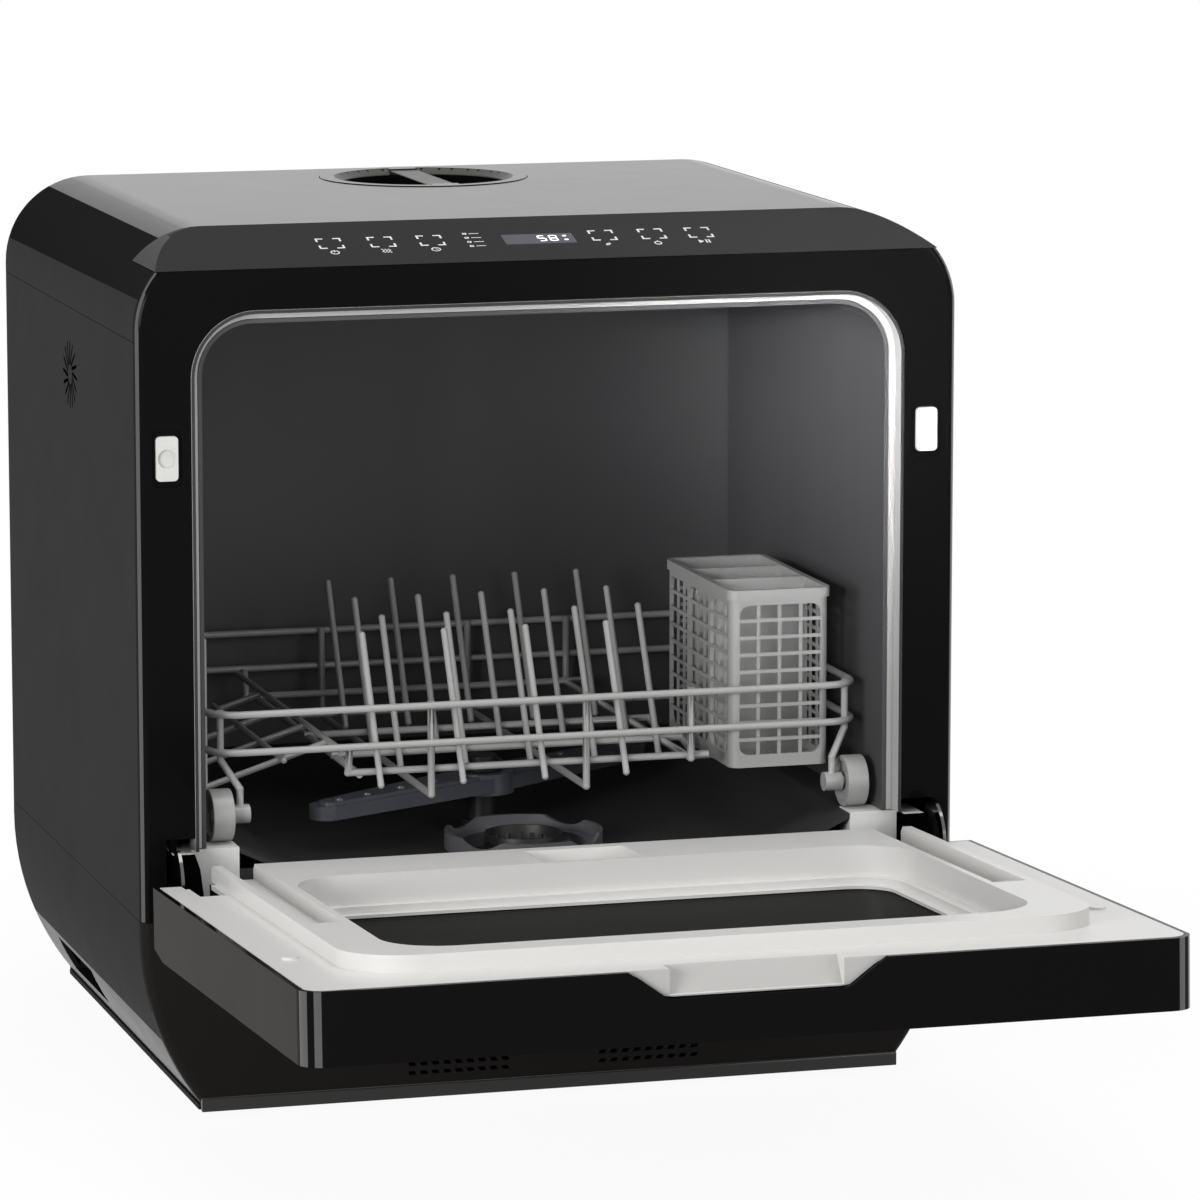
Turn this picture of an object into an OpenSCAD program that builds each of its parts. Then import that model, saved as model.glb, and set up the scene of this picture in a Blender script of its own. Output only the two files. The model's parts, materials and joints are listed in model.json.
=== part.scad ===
// Countertop dishwasher with a drop-down door, a rolling rack and a built-in water tank.
// Millimetres. X runs across the front, Y runs from front to back, Z is up.
// The origin is on the worktop, under the middle of everything with the door open.
// The door is modelled closed and then turned open about its own pivot.

/* [Cabinet] */
// Width of the cabinet
body_w = 420; // [414:2:430]
// Depth of the cabinet without the door
body_d = 345; // [341:2:355]
// Height from the worktop to the roof
body_h = 436; // [434:1:442]
// Wall of the outer casing
wall = 2.5; // [2:0.25:3]
// Radius along the two long top edges
top_r = 45; // [40:1:48]
// Height that the rubber feet hold the base off the worktop
foot_h = 3; // [2:0.5:4]

/* [Door] */
// Angle that the door hangs open from upright
door_open = 87.2; // [85:0.1:88]
// Thickness of the door without its raised inner panel
door_t = 34; // [32:1:36]
// Height of the door's raised inner panel over its flange
plateau_h = 8; // [6:0.5:8]

/* [Rack] */
// Thickness of the rack wire
wire_d = 3.6; // [3:0.2:4]
// Diameter of the rack's rollers
roller_d = 26; // [24:0.5:26]
// How far the rack rolls out
rack_travel = 180; // [150:5:185]

/* [Water] */
// Length of the spray arm from tip to tip
arm_len = 250; // [230:2:252]
// Diameter of the filler lid
lid_d = 110; // [106:1:112]

/* [Hidden] */

eps = 0.02;                       // overlap that joins solids of one piece
gap = 0.3;                        // seam between two covers, and seat between two pieces
run_gap = 0.06;                   // radial play of a turning fit
$fn = 64;

// Casing
bulge_z = 93;                     // the sides are upright above this height
side_r = 141;                     // radius of the sides where they draw in to the base
rear_r = 20;                      // rear corners and rear roof edge
front_r = 5;                      // upright front corners
panel_z = body_h - 16;            // lower edge of the sloping control panel
panel_run = 53;                   // depth of the sloping control panel
panel_tilt = atan((body_h - panel_z) / panel_run);
seam_low = 99.5;                  // top of the base housing
seam_high = body_h - 50.5;        // bottom of the top cover
base_half = body_w / 2 - 30;      // half the width of the base's flat floor
foot_x = base_half - 30;
foot_y = [40, body_d - 60];
screw_x = body_w / 2 - 42 - gap;  // rear casing screws
screw_z = [seam_low + 18.5, seam_high - 15.5];
skin_leg = 26;                    // depth of the walls that turn in at the front and back

// Opening and tub, all as seen from the front
open_half = body_w / 2 - 27.5;    // opening in the fascia
open_top = body_h - 36;
open_r = 33;
trim_t = 1.8;
rim_y = 8.8;                      // the tub's front edge, behind the fascia's face
tub_half = open_half - 7.5;       // inside of the tub
tub_top = open_top - 7.5;
tub_r = open_r - 7.5;
tub_back = body_d - 73;           // inside of the tub's back wall, from the fascia
tub_t = 2;
rail_z = 133.2;                   // ledges that the rack rolls on
rail_in = tub_half - 16;          // inner edge of each ledge
notch_top = 140.6;                // top of the hinge slots in the fascia

// Door pivot and hinge
pivot_y = -23.3;
pivot_z = 100.6;
pin_r = 2.5;
door_gap = 0.6;                   // the closed door stands this far off the fascia
door_z0 = 107;
door_z1 = panel_z - 3;
plateau_half = open_half - 3;
plateau_z0 = 100.3;
plateau_z1 = open_top - 16;
track_in = rail_in - 0.5;         // roller tracks in the door
track_out = plateau_half - 4.5;
lug_in = open_half + 0.7;         // hinge lug of the cabinet
lug_out = lug_in + 10.8;
well_half = plateau_half - 26.5;  // recess inside the door's raised ring
well_z = [152, door_z1 - 51];
well_d = 12;                      // depth of the recess below the flange
pocket_x = [-25, 26];             // detergent pocket in the raised ring
pane_half = well_half - 12;       // opening in the door's outer face
pane_z = [168, door_z1 - 65];
stay_x = lug_out + 0.6;           // polished stay beside the lug
stay_t = 1.6;
door_lug_x = stay_x + stay_t + gap;
door_lug_t = 4;
spigot_out = 22;                  // how far the drain spigot stands out at the back
door_reach = pivot_y - (door_z1 - pivot_z) * sin(door_open)
    - (door_gap + door_t + pivot_y) * cos(door_open);
origin_y = (door_reach + body_d + spigot_out) / 2;

// Door catches
catch_x = body_w / 2 - 15.5;
catch_z = panel_z - 91.2;
catch_w = 11;
catch_h = 22;
catch_stroke = 2.5;               // how far the door presses each catch in
catch_l = 18;                     // back end of the catch, from the fascia
catch_bore = 12;                  // bottom of the spring's bore
catch_back = catch_l + catch_stroke + 7.5;
strike_r = 4;                     // bump on the door that meets the catch

// Rack
wire_r = wire_d / 2;
roller_r = roller_d / 2;
roller_w = 11;
axle_z = rail_z + gap + roller_r;
axle_r = 2.5;
roller_out = tub_half - 5;
roller_in = roller_out - roller_w;
rack_half = tub_half - 7;
rack_y0 = 26;
rack_y1 = 262;
rack_low = 161.8;                 // bottom wires
rack_mid = 177;                   // lower loop
rack_top = 196;                   // upper loop
rack_foot = 150.3;                // long wires under the rack
rack_dip = 152.8;                 // where cross wires pass below the basket
riser_x = -rack_half + 70.5;      // left end of the rack's floor
post_x = [riser_x + 42, 25, rack_half - 88];
row_y = [80, 138, 196];           // cross wires that carry tines
axle_y = [26, 232];

// Cutlery basket
basket_x = rack_half - 66.5;
dip_x = [basket_x - 11.5, basket_x - 3.5]; // where cross wires turn down beside the basket
basket_w = 52;
basket_y = rack_y0 + 4;
basket_l = 112;
basket_z = rack_dip + wire_r + gap;
basket_h = 91;
basket_t = 2;                     // wall
basket_bar = 1.8;                 // bars across its windows

// Wash system
arm_y = 138;
arm_z = 131;
arm_t = 7;
hub_r = 4;
filter_x = 8;
filter_y = 86;
sink_z = 109;                     // flat land round the sump
fan_y = 158;
fan_z = body_h - 84.5;
lid_x = 4;
lid_y = body_d - 77;
lid_r = lid_d / 2;
tank_half = base_half - 30;
tank_z = 108;

// ---- Placing and profiles ----

// Places what is drawn from the fascia's face.
module from_front() {
    translate([0, -origin_y, 0]) children();
}

// Turns the closed door to its resting, open place.
module door_place() {
    from_front() translate([0, pivot_y, pivot_z]) rotate([door_open, 0, 0])
        translate([0, -pivot_y, -pivot_z]) children();
}

// Stretches an outline drawn in X and Z from y0 to y1.
module along_y(y0, y1) {
    translate([0, y1, 0]) rotate([90, 0, 0]) linear_extrude(y1 - y0) children();
}

// Stretches an outline drawn in Y and Z from x0 to x1.
module along_x(x0, x1) {
    translate([x0, 0, 0]) rotate([90, 0, 90]) linear_extrude(x1 - x0) children();
}

// A block given by its two corners.
module block(p, q) {
    translate(p) cube(q - p);
}

// A rectangle from a to b with round corners.
module round_rect(a, b, r) {
    translate([a.x + r, a.y]) square([b.x - a.x - 2 * r, b.y - a.y]);
    translate([a.x, a.y + r]) square([b.x - a.x, b.y - a.y - 2 * r]);
    for (x = [a.x + r, b.x - r], y = [a.y + r, b.y - r]) translate([x, y]) circle(r);
}

// A slot of width 2r from a to b.
module slot_2d(a, b, r) {
    run = b - a;
    translate(a) rotate(atan2(run.y, run.x)) translate([0, -r]) square([norm(run), 2 * r]);
    translate(a) circle(r);
    translate(b) circle(r);
}

// A straight round bar from p to q.
module bar(p, q, r) {
    run = q - p;
    translate(p) rotate([0, acos(run.z / norm(run)), atan2(run.y, run.x)])
        cylinder(h = norm(run), r = r);
}

// A quarter bend of bar in the XY plane, centred on c, starting at angle a.
module bend(c, big, a, r) {
    translate(c) rotate(a) rotate_extrude(angle = 90) translate([big, 0]) circle(r);
}

// A flat loop of wire with round corners.
module wire_loop(a, b, z, big, r) {
    bar([a.x + big, a.y, z], [b.x - big, a.y, z], r);
    bar([a.x + big, b.y, z], [b.x - big, b.y, z], r);
    bar([a.x, a.y + big, z], [a.x, b.y - big, z], r);
    bar([b.x, a.y + big, z], [b.x, b.y - big, z], r);
    bend([b.x - big, b.y - big, z], big, 0, r);
    bend([a.x + big, b.y - big, z], big, 90, r);
    bend([a.x + big, a.y + big, z], big, 180, r);
    bend([b.x - big, a.y + big, z], big, 270, r);
}

// The casing's outline from the front, drawn in by s.
module front_outline(s) {
    half = body_w / 2 - s;
    big = top_r - s;
    low = side_r - s;
    translate([-half, bulge_z]) square([2 * half, body_h - top_r - bulge_z]);
    translate([-half + big, bulge_z]) square([2 * (half - big), body_h - s - bulge_z]);
    for (side = [-1, 1]) translate([side * (half - big), body_h - s - big]) circle(big);
    intersection() {
        union() {
            for (side = [-1, 1]) translate([side * (half - low), bulge_z]) circle(low);
            translate([-half + low, 0]) square([2 * (half - low), bulge_z]);
        }
        translate([-half, foot_h]) square([2 * half, bulge_z + eps - foot_h]);
    }
}

// The casing's outline from above, drawn in by s.
module plan_outline(s) {
    half = body_w / 2 - s;
    translate([-half, front_r]) square([2 * half, body_d - front_r - rear_r]);
    translate([-body_w / 2 + front_r, s]) square([body_w - 2 * front_r, body_d - s - rear_r]);
    translate([-body_w / 2 + rear_r, body_d - rear_r - 1]) square([body_w - 2 * rear_r, rear_r + 1 - s]);
    for (side = [-1, 1]) {
        translate([side * (body_w / 2 - front_r), front_r]) circle(front_r - s);
        translate([side * (body_w / 2 - rear_r), body_d - rear_r]) circle(rear_r - s);
    }
}

// The part of the upright walls that lies inside the children.
module upright_cover(z0, z1) {
    translate([0, 0, z0]) linear_extrude(z1 - z0) intersection() {
        difference() {
            plan_outline(0);
            plan_outline(wall);
        }
        children();
    }
}

// Half of the wall's plan, as X from a sweep's axis and Y from front to back.
module skin_body(big, s) {
    x0 = big - skin_leg - s;
    translate([x0, s]) square([skin_leg - rear_r + s, body_d - 2 * s]);
    translate([x0, s]) square([skin_leg - front_r + s, body_d - s - rear_r]);
    translate([x0, front_r]) square([skin_leg, body_d - front_r - rear_r]);
    intersection() {
        union() {
            translate([big - front_r, front_r]) circle(front_r - s);
            translate([big - rear_r, body_d - rear_r]) circle(rear_r - s);
        }
        translate([big - rear_r, 0]) square([rear_r, body_d]);
    }
}

module skin_2d(big) {
    difference() {
        skin_body(big, 0);
        skin_body(big, wall);
    }
}

// The roof's wall: upright sides, swept corners and the flat top.
module roof_skin(z0) {
    axis_x = body_w / 2 - top_r;
    axis_z = body_h - top_r;
    for (side = [-1, 1]) mirror([side > 0 ? 0 : 1, 0, 0]) {
        translate([axis_x, 0, z0]) linear_extrude(axis_z - z0) skin_2d(top_r);
        translate([axis_x, 0, axis_z]) mirror([0, 0, 1]) rotate([-90, 0, 0])
            rotate_extrude(angle = 90) skin_2d(top_r);
    }
    along_x(-axis_x, axis_x) translate([0, axis_z]) mirror([1, -1, 0]) skin_2d(top_r);
}

// The base's side walls, swept inwards and cut off flat at the bottom.
module base_skin() {
    for (side = [-1, 1]) mirror([side > 0 ? 0 : 1, 0, 0]) {
        translate([body_w / 2 - top_r, 0, bulge_z]) linear_extrude(seam_low - bulge_z) skin_2d(top_r);
        difference() {
            translate([body_w / 2 - side_r, 0, bulge_z]) rotate([-90, 0, 0])
                rotate_extrude(angle = 44) skin_2d(side_r);
            block([-10, -1, -60], [body_w, body_d + 1, foot_h]);
        }
    }
}

// The opening's outline from the front, drawn in by s, open at the bottom.
module opening_outline(s, bottom) {
    half = open_half - s;
    intersection() {
        round_rect([-half, bottom - 2 * open_r], [half, open_top - s], open_r - s);
        translate([-half, bottom]) square([2 * half, open_top - bottom]);
    }
}

// ---- Casing ----

module base_housing() {
    grip_y = [body_d - 161, body_d - 75];
    grip_x = base_half - 16;          // inner wall of each grip pocket
    grip_z = [18, 36];
    color([0.2, 0.2, 0.2]) from_front() difference() {
        union() {
            base_skin();
            // front apron and back wall
            for (y = [0, body_d - wall]) along_y(y, y + wall) intersection() {
                front_outline(y > 0 ? rear_r : front_r);
                translate([-body_w / 2, foot_h]) square([body_w, seam_low - foot_h]);
            }
            // floor
            translate([0, 0, foot_h]) linear_extrude(wall) base_floor();
            // pockets that close the hand grips
            for (side = [-1, 1]) mirror([side > 0 ? 0 : 1, 0, 0])
                block([grip_x, grip_y[0] - 2, grip_z[0] - 2], [base_half + 6, grip_y[1] + 2, grip_z[1] + 2]);
            // posts under the feet screws
            for (x = [-1, 1], y = foot_y) translate([x * foot_x, y, foot_h]) cylinder(h = 9, r = 6);
        }
        // air slots in the apron
        for (side = [-1, 1], row = [0 : 2], n = [0 : 8]) mirror([side > 0 ? 0 : 1, 0, 0])
            along_y(-1, wall + 1) translate([23 + 6 * n, 14.5 + 4.5 * row])
                polygon([[0, 0], [3.6, 0], [4.6, 2], [1, 2]]);
        for (side = [-1, 1]) mirror([side > 0 ? 0 : 1, 0, 0]) {
            // hinge stays swing down behind the apron's top edge
            block([lug_in - 1.5, -1, 92], [stay_x + stay_t + 0.8, wall + 1, seam_low + 1]);
            // hand grip under the side
            block([grip_x + 2, grip_y[0], grip_z[0]], [body_w / 2 + 20, grip_y[1], grip_z[1]]);
        }
        // screw holes for the feet
        for (x = [-1, 1], y = foot_y) translate([x * foot_x, y, 0]) cylinder(h = 10, r = 2.1);
        // tap water, drain and mains at the back
        translate([-110, body_d - 20, 55]) rotate([-90, 0, 0]) cylinder(h = 40, r = 14.2);
        translate([-60, body_d - 20, 50]) rotate([-90, 0, 0]) cylinder(h = 40, r = 11.2);
        translate([120, body_d - 20, 55]) rotate([-90, 0, 0]) cylinder(h = 40, r = 9.2);
    }
}

// Floor of the base, a little inside the swept walls.
module base_floor() {
    half = base_half + 1;
    translate([-half, front_r]) square([2 * half, body_d - front_r - rear_r]);
    translate([-half + rear_r, 0.5]) square([2 * (half - rear_r), body_d - 1]);
    translate([-half + front_r, 0.5]) square([2 * (half - front_r), 100]);
    for (side = [-1, 1]) translate([side * (half - rear_r), body_d - rear_r]) circle(rear_r - 0.5);
}

module side_panel(side) {
    mirror([side > 0 ? 0 : 1, 0, 0]) from_front() difference() {
        upright_cover(seam_low + gap, seam_high)
            translate([body_w / 2 - 30, wall + gap]) square([40, body_d]);
        if (side < 0) {
            for (n = [0 : 15]) along_x(body_w / 2 - 10, body_w / 2 + 10)
                translate([fan_y, fan_z]) rotate(n * 22.5) translate([4, 0]) rotate(32)
                    slot_2d([2, 0], [13, 0], 0.9);
        }
    }
}

module left_panel() {
    color([0.23, 0.23, 0.23]) side_panel(-1);
}

module right_panel() {
    color([0.23, 0.23, 0.23]) side_panel(1);
}

module back_panel() {
    edge = body_w / 2 - 30 - gap;
    color([0.2, 0.2, 0.2]) from_front() difference() {
        upright_cover(seam_low + gap, seam_high)
            translate([-edge, body_d - 40]) square([2 * edge, 50]);
        for (x = [-1, 1], z = screw_z) translate([x * screw_x, body_d - 20, z])
            rotate([-90, 0, 0]) cylinder(h = 30, r = 1.8);
        // warm air leaves through these
        for (n = [0 : 13]) along_y(body_d - 10, body_d + 2)
            slot_2d([60 + 6 * n, 150], [60 + 6 * n, 190], 1.4);
    }
}

module top_cover() {
    color([0.14, 0.14, 0.14]) from_front() difference() {
        union() {
            roof_skin(seam_high + gap);
            block([-body_w / 2 + rear_r + 1, body_d - wall, seam_high + gap],
                [body_w / 2 - rear_r - 1, body_d, body_h - rear_r - 1]);
        }
        block([-body_w, -1, seam_high - 1], [body_w, wall + gap, body_h + 1]);
        block([-body_w, 0, panel_z - gap], [body_w, panel_run + gap, body_h + 1]);
        translate([lid_x, lid_y, body_h - 10]) cylinder(h = 20, r = lid_r + 0.4);
    }
}

module front_fascia() {
    axis_x = body_w / 2 - top_r;
    axis_z = body_h - top_r;
    color([0.07, 0.07, 0.07]) from_front() difference() {
        union() {
            upright_cover(seam_low + gap, axis_z) translate([-body_w / 2, 0]) square([body_w, wall]);
            // round upper corners
            intersection() {
                for (side = [-1, 1]) mirror([side > 0 ? 0 : 1, 0, 0])
                    translate([axis_x, 0, axis_z]) mirror([0, 0, 1]) rotate([-90, 0, 0])
                        rotate_extrude(angle = 90) intersection() {
                            union() {
                                square([top_r - front_r, wall]);
                                translate([top_r - front_r, front_r]) circle(front_r);
                            }
                            square([top_r, wall]);
                        }
                block([-body_w, -1, axis_z - 1], [body_w, wall + 1, panel_z - gap]);
            }
            block([-axis_x, 0, axis_z], [axis_x, wall, panel_z - gap]);
            // return wall round the opening
            difference() {
                along_y(wall - eps, rim_y - 0.2) opening_outline(-2, notch_top);
                along_y(-1, rim_y) opening_outline(0, 0);
            }
            // pockets behind the catches
            for (side = [-1, 1]) mirror([side > 0 ? 0 : 1, 0, 0])
                block([catch_x - 7.5, 0.5, catch_z - 14], [catch_x + 7.5, 4, catch_z + 14]);
        }
        along_y(-1, 20) opening_outline(0, 0);
        for (side = [-1, 1]) mirror([side > 0 ? 0 : 1, 0, 0]) {
            block([open_half - 1, -1, 90], [stay_x + stay_t + 0.8, 20, notch_top]);
            // catch window
            along_y(-1, 10) translate([catch_x, catch_z])
                round_rect([-catch_w / 2 - gap, -catch_h / 2 - gap],
                    [catch_w / 2 + gap, catch_h / 2 + gap], 2.5);
            // black recess round the catch
            along_y(-1, 1.2) translate([catch_x, catch_z])
                round_rect([-catch_w / 2 - 2, -catch_h / 2 - 3], [catch_w / 2 + 2, catch_h / 2 + 3], 2.5);
        }
    }
}

module control_panel() {
    drop = wall / cos(panel_tilt);
    color([0.28, 0.28, 0.28]) from_front() difference() {
        union() {
            // the sloping plate
            intersection() {
                along_y(-1, panel_run + 1) front_outline(0);
                along_x(-body_w, body_w) polygon([[0, panel_z], [panel_run, body_h],
                    [panel_run, body_h - drop], [drop / tan(panel_tilt), panel_z]]);
            }
            // its curved ends
            intersection() {
                along_y(-1, panel_run + 1) difference() {
                    front_outline(0);
                    front_outline(wall);
                }
                along_x(-body_w, body_w)
                    polygon([[1, panel_z], [panel_run, body_h - 1.2], [panel_run, panel_z]]);
            }
        }
        panel_frame() block([-18.4, -6.4, -1.2], [18.4, 6.4, 1]);
    }
}

// Places children on the sloping panel, at the middle of the display.
module panel_frame() {
    translate([0, 0, panel_z]) rotate([panel_tilt, 0, 0]) translate([0, 27, 0]) children();
}

module display_window() {
    color([0.05, 0.05, 0.06]) from_front() panel_frame()
        block([-18.2, -6.2, -1.2 + eps], [18.2, 6.2, -0.1]);
}

module display_board() {
    color([0.1, 0.35, 0.2]) from_front() panel_frame() {
        block([-125, -14, -wall - 7.6], [105, 14, -wall - 6]);
        for (x = [-106, -80, -55, 33, 58, 83]) translate([x, 0, -wall - 6 - eps])
            cylinder(h = 6 - gap, r = 5);
        block([-17, -6, -wall - 6 - eps], [17, 6, -wall - gap]);
    }
}

module main_board() {
    z = 24;
    x0 = base_half - 96;
    color([0.1, 0.35, 0.2]) from_front() {
        block([x0, 46, z], [x0 + 88, 116, z + 1.6]);
        for (x = [6, 82], y = [52, 110]) translate([x0 + x, y, foot_h + wall + gap])
            cylinder(h = z - foot_h - wall - gap + eps, r = 3);
        block([x0 + 10, 60, z + 1.6 - eps], [x0 + 30, 90, z + 20]);
        block([x0 + 38, 56, z + 1.6 - eps], [x0 + 54, 72, z + 17]);
        for (y = [66, 90]) translate([x0 + 66, y, z + 1.6 - eps]) cylinder(h = 22, r = 7);
    }
}

// ---- Tub ----

// The tub's cross-section, grown by s.
module tub_outline(s) {
    intersection() {
        round_rect([-tub_half - s, 0], [tub_half + s, tub_top + s], tub_r + s);
        translate([-tub_half - s, rail_z + gap]) square([2 * (tub_half + s), tub_top + s - rail_z - gap]);
    }
}

module tub() {
    color([0.45, 0.45, 0.46]) from_front() difference() {
        along_y(rim_y, tub_back + tub_t) tub_outline(tub_t);
        along_y(rim_y - 1, tub_back) tub_outline(0);
        // drying air inlet
        for (n = [0 : 5]) along_x(-tub_half - 10, -tub_half + 10)
            translate([fan_y, fan_z]) rotate(n * 60) slot_2d([4, 0], [10, 0], 1.2);
    }
}

// Upper face of the basin, as a list of points from the left to the right.
function basin_line(drop) = [
    [-tub_half - tub_t, rail_z - drop], [-rail_in, rail_z - drop], [-125, sink_z + 8 - drop],
    [-55, sink_z - drop], [55, sink_z - drop], [125, sink_z + 8 - drop], [rail_in, rail_z - drop],
    [tub_half + tub_t, rail_z - drop]];

function reversed(list) = [for (i = [len(list) - 1 : -1 : 0]) list[i]];

module basin() {
    lip_y = rim_y + 0.4;
    block_y = lip_y + 17.1;
    back_y = tub_back + tub_t + gap;
    color([0.1, 0.1, 0.1]) from_front() difference() {
        union() {
            intersection() {
                along_y(lip_y, back_y) polygon(concat(basin_line(0), reversed(basin_line(2.5))));
                union() {
                    block([-tub_half - 5, block_y, 90], [tub_half + 5, back_y, 140]);
                    block([-rail_in + 1, lip_y, 90], [rail_in - 1, back_y, 140]);
                }
            }
            // front sill
            block([-rail_in + 1, lip_y, seam_low + gap], [rail_in - 1, lip_y + 2.5, 122]);
            // rear wall of the basin
            along_y(back_y - 2.5, back_y)
                polygon(concat([[-tub_half - tub_t, rail_z], [tub_half + tub_t, rail_z]],
                    reversed(basin_line(2.5))));
            // land round the sump and round the spray pedestal
            translate([filter_x, filter_y, sink_z - 8]) cylinder(h = 8, r = 46);
            translate([0, arm_y, sink_z - 8]) cylinder(h = 8, r = 16);
        }
        translate([filter_x, filter_y, 80]) cylinder(h = 60, r = 38.4);
        translate([0, arm_y, 80]) cylinder(h = 60, r = 7.5 + gap);
    }
}

module tub_trim() {
    color([0.75, 0.75, 0.74]) from_front() difference() {
        along_y(-0.4, rim_y - 0.4) opening_outline(0.2, rail_z + 0.6);
        along_y(-1, rim_y) opening_outline(0.2 + trim_t, 0);
    }
}

module door_gasket() {
    color([0.12, 0.12, 0.12]) from_front() difference() {
        union() {
            along_y(rim_y - 0.1, rim_y + 5) opening_outline(0.3, rail_z + 0.6);
            // the lip that the door presses on
            difference() {
                along_y(rim_y - 0.4, rim_y) opening_outline(2.8, rail_z + 0.6);
                along_y(rim_y - 1, rim_y + 1) opening_outline(4.6, 0);
            }
        }
        along_y(rim_y - 1, rim_y + 6) tub_outline(tub_t + gap);
    }
}

// ---- Hinges ----

module hinge_block(side) {
    lip_y = rim_y + 0.4;
    mirror([side > 0 ? 0 : 1, 0, 0]) from_front() difference() {
        union() {
            // corner block in front of the rail
            block([rail_in - 0.7, lip_y, 104], [lug_out, lip_y + 16.8, rail_z]);
            // lug that reaches forward to the pivot
            along_x(lug_in, lug_out) polygon([[lip_y + 1, 94], [lip_y + 1, rail_z], [-2, rail_z],
                [-14, 128], [-24.5, 111.5], [pivot_y - 5, pivot_z + 5], [pivot_y, pivot_z - 7]]);
            translate([lug_in, pivot_y, pivot_z]) rotate([0, 90, 0]) cylinder(h = lug_out - lug_in, r = 7);
            block([lug_in, lip_y, 94], [lug_out, lip_y + 16.8, 110]);
        }
        translate([lug_in - 1, pivot_y, pivot_z]) rotate([0, 90, 0]) cylinder(h = 20, r = pin_r);
    }
}

module hinge_block_left() {
    color([0.77, 0.77, 0.76]) hinge_block(-1);
}

module hinge_block_right() {
    color([0.77, 0.77, 0.76]) hinge_block(1);
}

module hinge_pins() {
    color([0.7, 0.7, 0.7]) from_front() for (side = [-1, 1]) mirror([side > 0 ? 0 : 1, 0, 0])
        translate([lug_in + 0.5, pivot_y, pivot_z]) rotate([0, 90, 0])
            cylinder(h = door_lug_x + door_lug_t - lug_in, r = pin_r);
}

// ---- Wash system ----

module sump() {
    color([0.16, 0.16, 0.17]) from_front() difference() {
        union() {
            translate([filter_x, filter_y, 56]) cylinder(h = sink_z - 8 - gap - 56, r = 38);
            translate([filter_x, filter_y, sink_z - 11]) cylinder(h = 3 - gap, r = 45);
            // feed up to the spray pedestal
            translate([0, arm_y, 58]) cylinder(h = sink_z - 8 - gap - 58, r = 12);
            block([-8, filter_y, 62], [8, arm_y, 78]);
            // outlets to the pumps
            translate([filter_x - 60, filter_y, 68]) rotate([0, 90, 0]) cylinder(h = 40, r = 10);
            translate([filter_x + 20, filter_y, 68]) rotate([0, 90, 0]) cylinder(h = 30, r = 8);
        }
        translate([filter_x, filter_y, 59]) cylinder(h = 60, r = 35);
        translate([0, arm_y, 64]) cylinder(h = 60, r = 8);
        translate([filter_x - 61, filter_y, 68]) rotate([0, 90, 0]) cylinder(h = 40, r = 7.5);
        translate([filter_x + 30, filter_y, 68]) rotate([0, 90, 0]) cylinder(h = 30, r = 5.5);
    }
}

module wash_pump() {
    x = filter_x - 60 - gap;
    color([0.3, 0.3, 0.32]) from_front() {
        translate([x - 26, filter_y, 68]) rotate([0, 90, 0]) cylinder(h = 26, r = 30);
        translate([x - 84, filter_y, 68]) rotate([0, 90, 0]) cylinder(h = 58 + eps, r = 24);
        for (dx = [-74, -36]) block([x + dx, filter_y - 18, foot_h + wall + gap],
            [x + dx + 8, filter_y + 18, 60]);
    }
}

module drain_pump() {
    x = filter_x + 50 + gap;
    color([0.35, 0.35, 0.36]) from_front() {
        translate([x, filter_y, 68]) rotate([0, 90, 0]) cylinder(h = 20, r = 22);
        translate([x + 20 - eps, filter_y, 68]) rotate([0, 90, 0]) cylinder(h = 34, r = 17);
        block([x + 2, filter_y - 14, 50 - eps], [x + 12, filter_y + 14, 60]);
        block([x + 4, filter_y + 16, foot_h + wall + gap], [x + 12, filter_y + 28, 60]);
        block([x + 4, filter_y + 10, 52], [x + 12, filter_y + 28, 60]);
    }
}

module heater() {
    color([0.7, 0.7, 0.68]) from_front() {
        translate([-100, 210, 30]) rotate([0, 90, 0]) cylinder(h = 120, r = 18);
        for (x = [-92, 4]) block([x, 194, foot_h + wall + gap], [x + 8, 226, 32]);
        translate([-80, 210, 30]) cylinder(h = 30, r = 7);
        translate([0, 210, 30]) cylinder(h = 30, r = 7);
    }
}

module water_tank() {
    y0 = tub_back + tub_t + 2 * gap;
    y1 = body_d - wall - gap;
    color([0.82, 0.84, 0.86]) from_front() difference() {
        translate([0, 0, tank_z]) linear_extrude(tub_top - tank_z)
            round_rect([-tank_half, y0], [tank_half, y1], 8);
        translate([0, 0, tank_z + 2.5]) linear_extrude(tub_top - tank_z - 5)
            round_rect([-tank_half + 2.5, y0 + 2.5], [tank_half - 2.5, y1 - 2.5], 6);
        translate([lid_x, lid_y + 34, tub_top - 10]) cylinder(h = 20, r = 12 + gap);
    }
}

module fill_funnel() {
    z0 = tub_top + tub_t + gap;
    z1 = body_h - wall - gap;
    color([0.2, 0.2, 0.2]) from_front() difference() {
        union() {
            translate([lid_x, lid_y, z0]) cylinder(h = z1 - z0, r = lid_r - 4);
            translate([lid_x, lid_y, z1 - 2.5]) cylinder(h = 2.5, r = lid_r + 5);
            translate([lid_x, lid_y + 34, tub_top - 8]) cylinder(h = z0 - tub_top + 9, r = 12);
        }
        translate([lid_x, lid_y, z0 + 2.5]) cylinder(h = z1, r = lid_r - 6.5);
        translate([lid_x, lid_y + 34, tub_top - 9]) cylinder(h = 30, r = 10);
    }
}

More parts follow.
